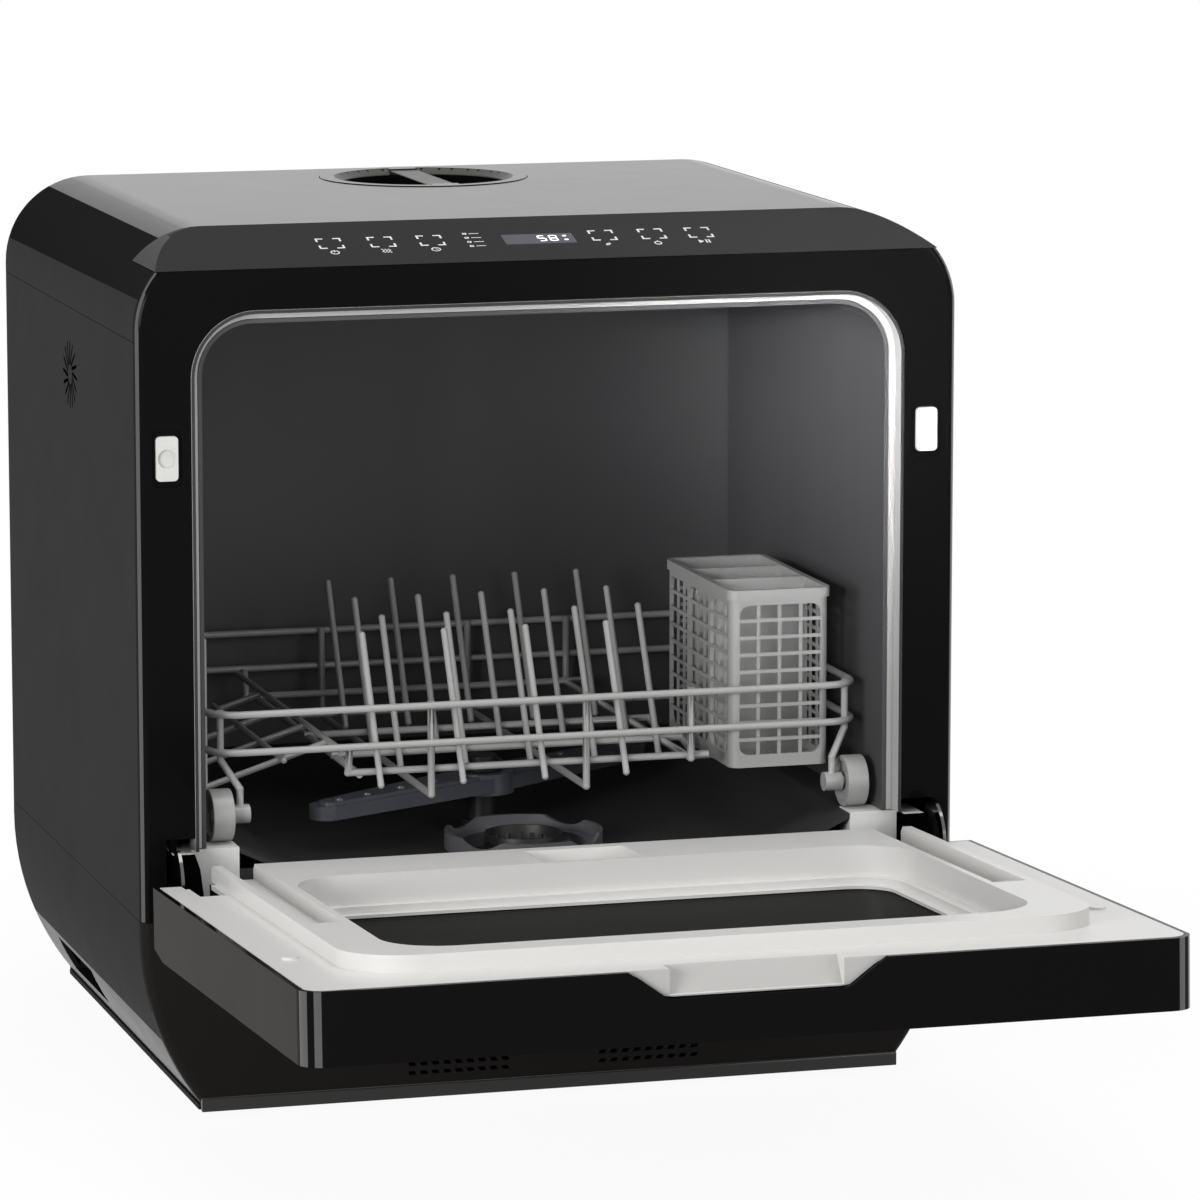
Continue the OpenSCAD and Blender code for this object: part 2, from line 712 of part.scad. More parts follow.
module inlet_valve() {
    color([0.85, 0.85, 0.83]) from_front() translate([-110, 0, 55]) difference() {
        union() {
            translate([0, body_d - 34, 0]) rotate([-90, 0, 0]) cylinder(h = 35, r = 12.4);
            translate([0, body_d + 0.5, 0]) rotate([-90, 0, 0]) cylinder(h = 11.5, r = 13.2);
            translate([0, body_d - 5.2, 0]) rotate([-90, 0, 0]) cylinder(h = 2.4, r = 17);
            block([-15, body_d - 62, -15], [15, body_d - 32, 18]);
            translate([0, body_d - 47, 17]) cylinder(h = 26, r = 11);
        }
        translate([0, body_d - 20, 0]) rotate([-90, 0, 0]) cylinder(h = 40, r = 9.5);
    }
}

module drain_spigot() {
    color([0.3, 0.3, 0.3]) from_front() translate([-60, 0, 50]) difference() {
        union() {
            translate([0, body_d - 22, 0]) rotate([-90, 0, 0]) cylinder(h = 23, r = 8.9);
            translate([0, body_d + 0.5, 0]) rotate([-90, 0, 0]) cylinder(h = spigot_out - 0.5, r = 9.5);
            translate([0, body_d - 5.2, 0]) rotate([-90, 0, 0]) cylinder(h = 2.4, r = 14);
        }
        translate([0, body_d - 23, 0]) rotate([-90, 0, 0]) cylinder(h = 46, r = 7);
    }
}

module power_gland() {
    color([0.08, 0.08, 0.08]) from_front() translate([120, 0, 55]) difference() {
        union() {
            translate([0, body_d - 12, 0]) rotate([-90, 0, 0]) cylinder(h = 22, r = 8.8);
            translate([0, body_d - 5.2, 0]) rotate([-90, 0, 0]) cylinder(h = 2.4, r = 13);
            translate([0, body_d + eps, 0]) rotate([-90, 0, 0]) cylinder(h = 3, r = 12);
        }
        translate([0, body_d - 13, 0]) rotate([-90, 0, 0]) cylinder(h = 30, r = 4);
    }
}

// ---- Drying fan, seen from the left side ----

module fan_at() {
    from_front() translate([-body_w / 2 + wall, fan_y, fan_z]) rotate([0, 90, 0]) children();
}

module fan_frame() {
    depth = body_w / 2 - wall - tub_half - tub_t;
    color([0.12, 0.12, 0.12]) fan_at() difference() {
        union() {
            translate([0, 0, gap]) cylinder(h = depth - 2 * gap, r = 21);
            translate([0, 0, gap]) linear_extrude(3) round_rect([-24, -24], [24, 24], 5);
        }
        translate([0, 0, -1]) cylinder(h = depth - 8, r = 19);
        for (a = [0 : 60 : 300]) rotate(a) translate([11.5, 0, 0]) cylinder(h = 60, r = 3.6);
    }
}

module fan_motor() {
    depth = body_w / 2 - wall - tub_half - tub_t;
    color([0.4, 0.4, 0.4]) fan_at() {
        translate([0, 0, depth - 14]) cylinder(h = 5 - gap, r = 7.5);
        translate([0, 0, 4]) cylinder(h = depth - 17, r = 1.5);
    }
}

module fan_wheel() {
    color([0.1, 0.1, 0.1]) fan_at() difference() {
        union() {
            translate([0, 0, 5]) cylinder(h = 9, r = 6);
            for (a = [0 : 40 : 320]) rotate(a) translate([0, 0, 5.5]) linear_extrude(8)
                polygon([[4, -0.8], [16.5, 3], [17, 4.4], [4, 0.8]]);
        }
        translate([0, 0, 3]) cylinder(h = 20, r = 1.5 + run_gap);
    }
}

// ---- Feet and screws ----

module feet() {
    color([0.05, 0.05, 0.05]) from_front() for (x = [-foot_x, foot_x], y = foot_y) translate([x, y, 0]) {
        cylinder(h = foot_h - 0.05, r = 12);
        cylinder(h = foot_h + wall + 0.5, r = 1.9);
    }
}

module case_screws() {
    color([0.5, 0.5, 0.5]) from_front() for (x = [-1, 1], z = screw_z)
        translate([x * screw_x, body_d, z]) rotate([-90, 0, 0]) difference() {
            union() {
                translate([0, 0, eps]) cylinder(h = 1.8, r = 3.4);
                translate([0, 0, -8]) cylinder(h = 8 + 2 * eps, r = 1.6);
            }
            translate([-2.2, -0.4, 1]) cube([4.4, 0.8, 2]);
            translate([-0.4, -2.2, 1]) cube([0.8, 4.4, 2]);
        }
}

// ---- Door catches ----

module catch_case(side) {
    mirror([side > 0 ? 0 : 1, 0, 0]) from_front() translate([catch_x, 0, catch_z]) difference() {
        block([-8, 4.2, -14], [8, catch_back + 2, 14]);
        block([-catch_w / 2 - gap, 0, -catch_h / 2 - gap],
            [catch_w / 2 + gap, catch_back, catch_h / 2 + gap]);
    }
}

module catch_case_left() {
    color([0.1, 0.1, 0.1]) catch_case(-1);
}

module catch_case_right() {
    color([0.1, 0.1, 0.1]) catch_case(1);
}

module catch(side) {
    mirror([side > 0 ? 0 : 1, 0, 0]) from_front() translate([catch_x, 0, catch_z]) difference() {
        along_y(-0.3, catch_l) round_rect([-catch_w / 2, -catch_h / 2], [catch_w / 2, catch_h / 2], 2.2);
        translate([0, catch_bore, 0]) rotate([-90, 0, 0]) cylinder(h = 10, r = 3.6);
        // dimple that the door's strike drops into
        translate([0, -1, 0]) rotate([-90, 0, 0]) cylinder(h = 2.2, r = strike_r + 0.6);
    }
}

module catch_left() {
    color([0.91, 0.91, 0.9]) catch(-1);
}

module catch_right() {
    color([0.91, 0.91, 0.9]) catch(1);
}

// A compression spring along Z: a hexagonal wire swept round the coil.
module coil(big, r, height, turns) {
    sides = 6;
    steps = 14 * turns;
    points = [for (i = [0 : steps], k = [0 : sides - 1])
        let (a = 360 * turns * i / steps, b = 360 * k / sides, q = big + r * cos(b))
        [q * cos(a), q * sin(a), height * i / steps + r * sin(b)]];
    skin = [for (i = [0 : steps - 1], k = [0 : sides - 1])
        [i * sides + k, (i + 1) * sides + k, (i + 1) * sides + (k + 1) % sides, i * sides + (k + 1) % sides]];
    ends = [[for (k = [0 : sides - 1]) k], [for (k = [sides - 1 : -1 : 0]) steps * sides + k]];
    polyhedron(points, concat(skin, ends));
}

module catch_spring(side) {
    r = 0.45;
    from_front() translate([side * catch_x, catch_bore + 0.1 + r, catch_z]) rotate([-90, 0, 0])
        coil(2.6, r, catch_back - catch_bore - 2 * r - 0.2, 5);
}

module catch_spring_left() {
    color([0.7, 0.7, 0.7]) catch_spring(-1);
}

module catch_spring_right() {
    color([0.7, 0.7, 0.7]) catch_spring(1);
}

// ---- Spray arm and filter ----

module spray_pedestal() {
    color([0.2, 0.2, 0.22]) from_front() translate([0, arm_y, 0]) difference() {
        union() {
            translate([0, 0, 66]) cylinder(h = 30, r = 7.5);
            translate([0, 0, 80]) cylinder(h = arm_z - gap - 2 - 80, r = 7.5);
            translate([0, 0, sink_z + eps]) cylinder(h = 6, r = 11);
            translate([0, 0, 110]) cylinder(h = arm_z + arm_t + 7 - 110, r = hub_r);
        }
        translate([0, 0, 60]) cylinder(h = 66, r = 3);
    }
}

module spray_arm() {
    half = arm_len / 2;
    turn = 31;
    color([0.25, 0.27, 0.32]) from_front() translate([0, arm_y, arm_z]) rotate(turn) difference() {
        union() {
            translate([0, 0, -2]) cylinder(h = arm_t + 4, r = 17);
            for (a = [0, 180]) rotate(a) {
                linear_extrude(arm_t) union() {
                    polygon([[0, -16], [half - 12, -9], [half - 12, 9], [0, 16]]);
                    translate([half - 12, 0]) circle(9);
                }
                // raised spine and jets
                translate([0, 0, arm_t - eps]) linear_extrude(1.6) union() {
                    polygon([[0, -12], [half - 14, -5.5], [half - 14, 5.5], [0, 12]]);
                    translate([half - 14, 0]) circle(5.5);
                }
                for (x = [38, 62, 86, 106]) translate([x, 2, arm_t]) cylinder(h = 2.6, r = 2.6);
            }
        }
        translate([0, 0, -5]) cylinder(h = 30, r = hub_r + run_gap);
        for (a = [0, 180], x = [38, 62, 86, 106]) rotate(a) translate([x, 2, arm_t - 1])
            cylinder(h = 5, r = 0.9);
    }
}

module spray_nut() {
    z = arm_z + arm_t + 2 + gap;
    color([0.2, 0.2, 0.22]) from_front() translate([0, arm_y, z]) difference() {
        union() {
            cylinder(h = 5, r = 11);
            cylinder(h = 8, r = 8);
        }
        translate([0, 0, -1]) cylinder(h = arm_z + arm_t + 7.3 - z + 1, r = hub_r);
    }
}

module filter_cup() {
    rim_h = 9;
    color([0.2, 0.2, 0.21]) from_front() translate([filter_x, filter_y, 0]) difference() {
        union() {
            translate([0, 0, 78]) cylinder(h = sink_z + 1 - 78, r = 34.6);
            translate([0, 0, sink_z + gap]) cylinder(h = rim_h, r = 40.6);
        }
        translate([0, 0, 80.5]) cylinder(h = 60, r = 32);
        translate([0, 0, sink_z + 3]) cylinder(h = 20, r = 38.4);
        // the rim's edge waves up and down for the fingers
        for (a = [40 : 90 : 310]) rotate(a) translate([20, 0, sink_z + gap + rim_h + 18]) rotate([0, 90, 0])
            cylinder(h = 30, r = 22);
        for (a = [0 : 15 : 345]) rotate(a) translate([28, -1, 84]) cube([10, 2, 20]);
    }
}

module filter_mesh() {
    color([0.6, 0.6, 0.6]) from_front() translate([filter_x, filter_y, 0]) difference() {
        translate([0, 0, 80.8]) cylinder(h = 36, r = 20);
        translate([0, 0, 82]) cylinder(h = 60, r = 18.8);
        for (a = [0 : 20 : 340], z = [85 : 6 : 109]) rotate(a) translate([15, -1.4, z]) cube([10, 2.8, 3.6]);
    }
}

// ---- Door, all drawn closed ----

module door_outline(s) {
    half = body_w / 2 - s;
    z0 = door_z0 + s;
    z1 = door_z1 - s;
    translate([-half, z0]) square([2 * half, z1 - z0 - 12]);
    translate([-half + 12 - s, z0]) square([2 * (half - 12 + s), z1 - z0]);
    for (side = [-1, 1]) translate([side * (half - 12 + s), z1 - 12 + s]) circle(12 - s);
}

// The scoop for the fingers at the door's free end, deeper by s.
module grip_outline(s) {
    polygon([[-61 - s, 0.01], [-55 - s, -4], [-44 - s, -12], [-40 - s, -13 - s], [40 + s, -13 - s],
        [44 + s, -12], [55 + s, -4], [61 + s, 0.01]]);
}

module hinge_notch(s) {
    for (side = [-1, 1]) mirror([side > 0 ? 0 : 1, 0, 0])
        block([lug_in - 1.2 - s, -28.5 - s, door_z0 - 10], [stay_x - 0.3 + s, 10, notch_top + 2 + s]);
}

module door_shell() {
    y0 = -door_gap - door_t;
    y1 = -door_gap - 0.2;
    color([0.06, 0.06, 0.06]) door_place() difference() {
        union() {
            difference() {
                along_y(y0, y1) door_outline(0);
                along_y(y0 + 2.5, y1 + 1) door_outline(2.5);
            }
            // hinge lugs
            for (side = [-1, 1]) mirror([side > 0 ? 0 : 1, 0, 0]) {
                along_x(door_lug_x, door_lug_x + door_lug_t) union() {
                    translate([pivot_y, pivot_z]) circle(7);
                    translate([pivot_y - 7, pivot_z]) square([14, 28]);
                }
                // the floor of the lug, joined to the shell's side
                block([door_lug_x, pivot_y - 7, door_z0 + 1], [body_w / 2 - 1, pivot_y + 7, door_z0 + 5]);
                // shelf that carries the stay
                block([stay_x - 0.2, pivot_y + 7 - eps, door_z0 + 12],
                    [door_lug_x + door_lug_t, -6, door_z0 + 28]);
            }
            // handle box behind the scoop
            translate([0, -door_gap, 0]) block([-64, -20, door_z1 - 30], [64, -14.6, door_z1 - 1]);
        }
        // slanted lower end, which clears the base when the door swings
        along_x(-body_w, body_w) polygon([[y0 - 1, door_z0 - 20], [y0 - 1, door_z0 + 24],
            [pivot_y - 7.5, door_z0], [pivot_y - 7.5, door_z0 - 20]]);
        hinge_notch(0);
        // window in the outer face
        along_y(y0 - 1, y0 + 1.2) round_rect([-pane_half, pane_z.x], [pane_half, pane_z.y], 22);
        along_y(y0 - 1, y0 + 5) round_rect([5 - pane_half, pane_z.x + 5], [pane_half - 5, pane_z.y - 5], 18);
        // finger scoop
        translate([0, 0, door_z1 - 40]) linear_extrude(60) translate([0, y1]) grip_outline(0);
        for (side = [-1, 1])
            translate([side > 0 ? door_lug_x - 1 : -door_lug_x - door_lug_t - 1, pivot_y, pivot_z])
            rotate([0, 90, 0]) cylinder(h = door_lug_t + 2, r = pin_r + run_gap);
        // room for the stay
        for (side = [-1, 1]) mirror([side > 0 ? 0 : 1, 0, 0])
            block([stay_x - 0.3, -5.5, door_z0 - 1], [stay_x + stay_t + 0.3, 5, door_z0 + 4]);
    }
}

// Pane behind the opening in the door's outer face.
module door_outer_glass() {
    y0 = -door_gap - door_t + 2.5 + gap;
    color([0.08, 0.08, 0.09]) door_place() along_y(y0, y0 + 4)
        round_rect([-pane_half - 5, pane_z.x - 5], [pane_half + 5, pane_z.y + 5], 24);
}

module door_inner_panel() {
    yf = -door_gap;                   // face of the flange
    yp = yf + plateau_h;              // face of the raised ring
    color([0.84, 0.84, 0.82]) door_place() difference() {
        union() {
            // flange
            along_y(yf - 2.5, yf) door_outline(2.8);
            // raised ring
            along_y(yf - eps, yp) union() {
                translate([-plateau_half, plateau_z0])
                    square([2 * plateau_half, plateau_z1 - plateau_z0 - 32]);
                translate([-plateau_half + 32, plateau_z0])
                    square([2 * plateau_half - 64, plateau_z1 - plateau_z0]);
                for (side = [-1, 1]) translate([side * (plateau_half - 32), plateau_z1 - 32]) circle(32);
            }
            // walls of the well
            along_y(yf - well_d, yf)
                round_rect([-well_half - 5, well_z.x - 3], [well_half + 5, well_z.y + 3], 33);
            // floor of the finger scoop
            translate([0, 0, door_z1 - 30]) linear_extrude(27.2)
                translate([0, yf - 0.2]) grip_outline(0.9 - 1.4);
            // strikes for the catches
            for (side = [-1, 1]) translate([side * catch_x, yf, catch_z]) rotate([90, 0, 0])
                translate([0, 0, -1.1]) cylinder(h = 2, r = strike_r);
        }
        // hollow behind the ring
        along_y(yf - 3, yp - 2.5) difference() {
            round_rect([-plateau_half + 2.5, plateau_z0 + 20], [plateau_half - 2.5, plateau_z1 - 2.5], 30);
            round_rect([-well_half - 5, well_z.x - 3], [well_half + 5, well_z.y + 3], 33);
            // stays solid round the detergent pocket
            translate([pocket_x.x - 2.5, plateau_z0])
                square([pocket_x.y - pocket_x.x + 5, well_z.x - plateau_z0]);
            for (side = [-1, 1]) translate([side > 0 ? track_in - 2.5 : -track_out - 2.5, plateau_z0 - 1])
                square([track_out - track_in + 5, rack_travel + 10]);
        }
        // well, in two steps down to the glass
        along_y(yf - well_d + 5, yp + 1)
            round_rect([-well_half - 2, well_z.x], [well_half + 2, well_z.y], 30);
        along_y(yf - well_d + 1.5, yp + 1)
            round_rect([4 - well_half, well_z.x + 5], [well_half - 4, well_z.y - 5], 25);
        along_y(yf - well_d - 4, yp + 1)
            round_rect([9 - well_half, well_z.x + 10], [well_half - 9, well_z.y - 10], 20);
        // roller tracks
        for (side = [-1, 1]) mirror([side > 0 ? 0 : 1, 0, 0])
            block([track_in, yf, plateau_z0 - 1], [track_out, yp + 1, plateau_z0 + rack_travel + 4]);
        // chamfered edge towards the hinge
        along_x(-body_w, body_w) polygon([[yp + 0.1, plateau_z0 - 1], [yp + 0.1, plateau_z0 + 3],
            [yp - 3.9, plateau_z0 - 1]]);
        // slanted scoop floor leaves room for the fingers
        along_x(-41, 41) polygon([[yf + 1, door_z1 - 14], [yf - 12, door_z1 - 6], [yf - 12, door_z1 + 9],
            [yf + 1, door_z1 + 9]]);
        // detergent pocket near the hinge
        block([pocket_x.x, yf + 1, plateau_z0 + 12], [pocket_x.y, yp + 1, well_z.x - 4]);
        hinge_notch(0.3);
        for (side = [-1, 1]) mirror([side > 0 ? 0 : 1, 0, 0]) {
            block([stay_x - 0.3, yf - 5, door_z0 - 1], [stay_x + stay_t + 0.4, yf + 5, door_z0 + 12]);
            block([door_lug_x - 0.3, -40, door_z0 - 20],
                [door_lug_x + door_lug_t + 0.3, yf - 2, door_z0 + 30]);
        }
    }
}

module door_window() {
    yf = -door_gap;
    color([0.1, 0.1, 0.1, 0.6]) door_place() along_y(yf - well_d - 4, yf - well_d - gap)
        round_rect([2 - well_half, well_z.x + 4], [well_half - 2, well_z.y - 4], 26);
}

module door_stay(side) {
    c = [-1.8, pivot_z - 12.7];
    mirror([side > 0 ? 0 : 1, 0, 0]) door_place() along_x(stay_x, stay_x + stay_t) union() {
        difference() {
            translate(c) circle(21);
            translate(c) circle(15);
            translate([c.x - 40, c.y - 60]) square([40, 120]);
            translate(c) rotate(-25) translate([-10, -60]) square([60, 60]);
        }
        // foot inside the door
        translate([c.x - 3, c.y + 15]) square([3 + eps, 6]);
    }
}

module door_stay_left() {
    color([0.75, 0.75, 0.76]) door_stay(-1);
}

module door_stay_right() {
    color([0.75, 0.75, 0.76]) door_stay(1);
}

// ---- Rack ----

module rack_frame() {
    corner = 16;
    floor_z = rack_low + 1.2;
    front_y = rack_y0 + 5.8;
    rear_y = rack_y1 - 5.8;
    color([0.69, 0.69, 0.69]) from_front() {
        wire_loop([-rack_half, rack_y0], [rack_half, rack_y1], rack_top, corner, wire_r);
        wire_loop([-rack_half, rack_y0], [rack_half, rack_y1], rack_mid, corner, wire_r);
        // posts, joined below by long wires
        for (x = post_x) {
            z = x == post_x[2] ? rack_low : rack_foot;
            for (y = [rack_y0 + 2.4, rack_y1 - 2.4]) {
                bar([x, y, z], [x, y, rack_top + 2], wire_r);
                translate([x, y, z]) sphere(wire_r + 0.1);
            }
            bar([x, rack_y0 + 2.4, z], [x, rack_y1 - 2.4, z], wire_r);
        }
        bar([riser_x + 6, front_y, rack_low], [riser_x + 6, rear_y, rack_low], wire_r);
        // front and rear floor wires turn up to the lower loop at the left
        for (y = [front_y, rear_y]) {
            bar([riser_x, y, floor_z], [dip_x[0], y, floor_z], wire_r);
            bar([riser_x, y, floor_z], [riser_x, y + (y < 100 ? -4 : 4), rack_mid], wire_r);
            translate([riser_x, y, floor_z]) sphere(wire_r + 0.1);
        }
        // floor wires between them, two of which pass below the basket
        for (y = row_y) {
            below = y < basket_y + basket_l;
            z = below ? rack_dip : floor_z;
            x = rack_half - 8;
            bar([riser_x + 3, y, floor_z], [dip_x[0], y, floor_z], wire_r);
            bar([dip_x[0], y, floor_z], [dip_x[1], y, z], wire_r);
            bar([dip_x[1], y, z], [x, y, z], wire_r);
            bar([x, y, z], [rack_half - 0.6, y, rack_mid], wire_r * 0.96);
            for (p = [[dip_x[0], y, floor_z], [dip_x[1], y, z], [x, y, z]]) translate(p) sphere(wire_r + 0.1);
        }
        // legs down to the axle hubs
        for (side = [-1, 1], y = axle_y) {
            leg_y = y < 100 ? rack_y0 + 5.6 : y;
            leg_x = side * (y < 100 ? rack_half - 5.6 : rack_half - 2.4);
            hub_x = side * (roller_in - 5);
            bar([leg_x, leg_y, rack_top + 2], [leg_x, leg_y, rack_mid - 4], wire_r);
            bar([leg_x, leg_y, rack_mid - 4], [hub_x, y, rack_mid - 18], wire_r);
            bar([hub_x, y, rack_mid - 18], [hub_x, y, axle_z], wire_r);
            translate([hub_x, y, rack_mid - 18]) sphere(wire_r + 0.1);
            translate([leg_x, leg_y, rack_mid - 4]) sphere(wire_r + 0.1);
            translate([side > 0 ? roller_in - 9.5 : -roller_in + gap, y, axle_z]) rotate([0, 90, 0])
                cylinder(h = 9.5 - gap, r = 4.8);
            translate([side > 0 ? roller_in - 2 : -roller_out + 1, y, axle_z]) rotate([0, 90, 0])
                cylinder(h = roller_w + 1, r = axle_r);
        }
    }
}

// One tine, leaning back, with its foot in front of the floor wire at y.
module tine(x, y) {
    r = wire_r * 0.9;
    foot = [x, y - wire_r - r - 3.9, rack_low - 4.6];
    tip = foot + [0, 37, 70];
    bar(foot, tip, r);
    for (p = [foot, tip]) translate(p) sphere(r + 0.08);
}

module rack_tines() {
    color([0.69, 0.69, 0.69]) from_front() {
        for (n = [0 : 3]) tine(riser_x + 15.1 + 42.4 * n, rack_y0 + 5.8);
        for (y = row_y, n = [0 : 4]) tine(riser_x + 37.5 + 34 * n, y);
    }
}

module mug_shelf() {
    r = wire_r * 0.9;
    leg_x = -rack_half + wire_r + r + gap;
    rail_x = riser_x - wire_r - r - gap;
    drop = (rack_low + 12 - (rack_low - 8)) / (rail_x - leg_x);
    color([0.69, 0.69, 0.69]) from_front() {
        for (y = [60, 108, 156, 204]) {
            bar([rail_x, y, rack_low + 12], [leg_x, y, rack_low - 8], r);
            bar([leg_x, y, rack_low - 8], [leg_x, y, rack_top + 32], r);
            translate([leg_x, y, rack_low - 8]) sphere(r + 0.1);
            translate([leg_x, y, rack_top + 32]) sphere(r + 0.05);
        }
        // long wires that join them
        for (x = [rail_x, leg_x + 38.9]) {
            z = rack_low - 8 + (x - leg_x) * drop + 1;
            y0 = x == rail_x ? rack_y0 + 4 : 52;
            y1 = x == rail_x ? rack_y1 - 4 : 212;
            bar([x, y0, z], [x, y1, z], r);
            for (y = [y0, y1]) translate([x, y, z]) sphere(r + 0.05);
        }
    }
}

module roller(side, y) {
    mirror([side > 0 ? 0 : 1, 0, 0]) from_front() translate([roller_in, y, axle_z]) rotate([0, 90, 0])
        difference() {
            cylinder(h = roller_w, r = roller_r);
            translate([0, 0, -1]) cylinder(h = roller_w + 2, r = axle_r + run_gap);
            translate([0, 0, roller_w - 2.5]) cylinder(h = 5, r = roller_r - 3);
            translate([0, 0, -2.5]) cylinder(h = 4, r = roller_r - 3);
        }
}

module roller_front_left() {
    color([0.55, 0.55, 0.55]) roller(-1, axle_y[0]);
}

module roller_front_right() {
    color([0.55, 0.55, 0.55]) roller(1, axle_y[0]);
}

module roller_rear_left() {
    color([0.55, 0.55, 0.55]) roller(-1, axle_y[1]);
}

module roller_rear_right() {
    color([0.55, 0.55, 0.55]) roller(1, axle_y[1]);
}

// Openings between level bars, inside a window from a to b.
module window_rows(a, b) {
    pitch = (b.y - a.y + basket_bar) / 9;
    intersection() {
        round_rect(a, b, 5);
        for (n = [0 : 8]) translate([a.x, a.y + n * pitch]) square([b.x - a.x, pitch - basket_bar]);
    }
}

// Openings between upright bars, inside the same window.
module window_columns(a, b, count) {
    pitch = (b.x - a.x + basket_bar) / count;
    intersection() {
        round_rect(a, b, 5);
        for (n = [0 : count - 1]) translate([a.x + n * pitch, a.y])
            square([pitch - basket_bar, b.y - a.y]);
    }
}

module cutlery_basket() {
    w = basket_w;
    l = basket_l;
    h = basket_h;
    t = basket_t;
    cell = (l - t) / 3;
    end_a = [4.5, 6.5];
    end_b = [w - 4.5, h - 8];
    color([0.56, 0.56, 0.56]) from_front() translate([basket_x, basket_y, basket_z]) difference() {
        union() {
            linear_extrude(h) round_rect([0, 0], [w, l], 5);
            translate([0, 0, h - 5]) linear_extrude(5) round_rect([-1.2, -1.2], [w + 1.2, l + 1.2], 6);
        }
        // three pockets
        for (n = [0 : 2]) translate([t, t + n * cell, t]) cube([w - 2 * t, cell - t, h]);
        // barred windows: level bars outside, upright bars inside
        along_y(-2, t / 2) window_rows(end_a, end_b);
        along_y(t / 2 - eps, t + eps) window_columns(end_a, end_b, 4);
        along_y(l - t / 2, l + 2) window_rows(end_a, end_b);
        along_y(l - t - eps, l - t / 2 + eps) window_columns(end_a, end_b, 4);
        for (n = [0 : 2]) {
            a = [t + n * cell + (n == 0 ? 3.5 : 1), end_a.y];
            b = [n * cell + cell - (n == 2 ? 3.5 : 1), end_b.y];
            along_x(-2, t / 2) window_rows(a, b);
            along_x(t / 2 - eps, t + eps) window_columns(a, b, 3);
            along_x(w - t / 2, w + 2) window_rows(a, b);
            along_x(w - t - eps, w - t / 2 + eps) window_columns(a, b, 3);
        }
        // drain slots
        for (n = [0 : 2], k = [0 : 3]) translate([8 + 10 * k, 6 + n * cell, -1]) cube([4, 24, 5]);
    }
}

// ---- Filler lid ----

module tank_lid() {
    z = body_h - wall - gap + 0.3;
    bar = 7.5;                        // half the width of the grip bar
    color([0.1, 0.1, 0.1]) from_front() translate([lid_x, lid_y, 0]) difference() {
        union() {
            translate([0, 0, z]) cylinder(h = body_h + 0.4 - z, r = lid_r);
            translate([0, 0, z - 9]) cylinder(h = 10, r = lid_r - 10);
        }
        // dished well with the grip bar across it
        difference() {
            union() {
                translate([0, 0, z - 6.5]) cylinder(h = 7, r = lid_r - 12);
                translate([0, 0, z]) cylinder(h = body_h + 0.5 - z, r1 = lid_r - 12, r2 = lid_r - 7);
            }
            block([-bar, -lid_r, z - 20], [bar, lid_r, z + 10]);
        }
        block([-bar - 0.1, 13 - lid_r, body_h - 0.4], [bar + 0.1, lid_r - 13, z + 20]);
    }
}

module lid_seal() {
    z = body_h - wall - gap + 0.3;
    color([0.3, 0.3, 0.3]) from_front() translate([lid_x, lid_y, z - 4]) difference() {
        cylinder(h = 4 - 0.05, r = lid_r - 6.8);
        translate([0, 0, -1]) cylinder(h = 8, r = lid_r - 10 + 0.05);
    }
}

base_housing();
left_panel();
right_panel();
back_panel();
top_cover();
front_fascia();
control_panel();
display_window();
display_board();
main_board();
tub();
basin();
tub_trim();
door_gasket();
hinge_block_left();
hinge_block_right();
hinge_pins();
sump();
wash_pump();
drain_pump();
heater();
water_tank();
fill_funnel();
inlet_valve();
drain_spigot();
power_gland();
fan_frame();
fan_motor();
fan_wheel();
feet();
case_screws();
catch_case_left();
catch_case_right();
catch_left();
catch_right();
catch_spring_left();
catch_spring_right();
spray_pedestal();
spray_arm();
spray_nut();
filter_cup();
filter_mesh();
door_shell();
door_outer_glass();
door_inner_panel();
door_window();
door_stay_left();
door_stay_right();
rack_frame();
rack_tines();
mug_shelf();
roller_front_left();
roller_front_right();
roller_rear_left();
roller_rear_right();
cutlery_basket();
tank_lid();
lid_seal();
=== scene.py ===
# %% [markdown]
# # A countertop dishwasher, from a CAD frame to a finished look
# The machine's solids come from a CAD model, packed in one shared frame. Here each of them gets
# its finish: soft moulded edges, paint, glass and wire. We load the frame first.

import json
import math

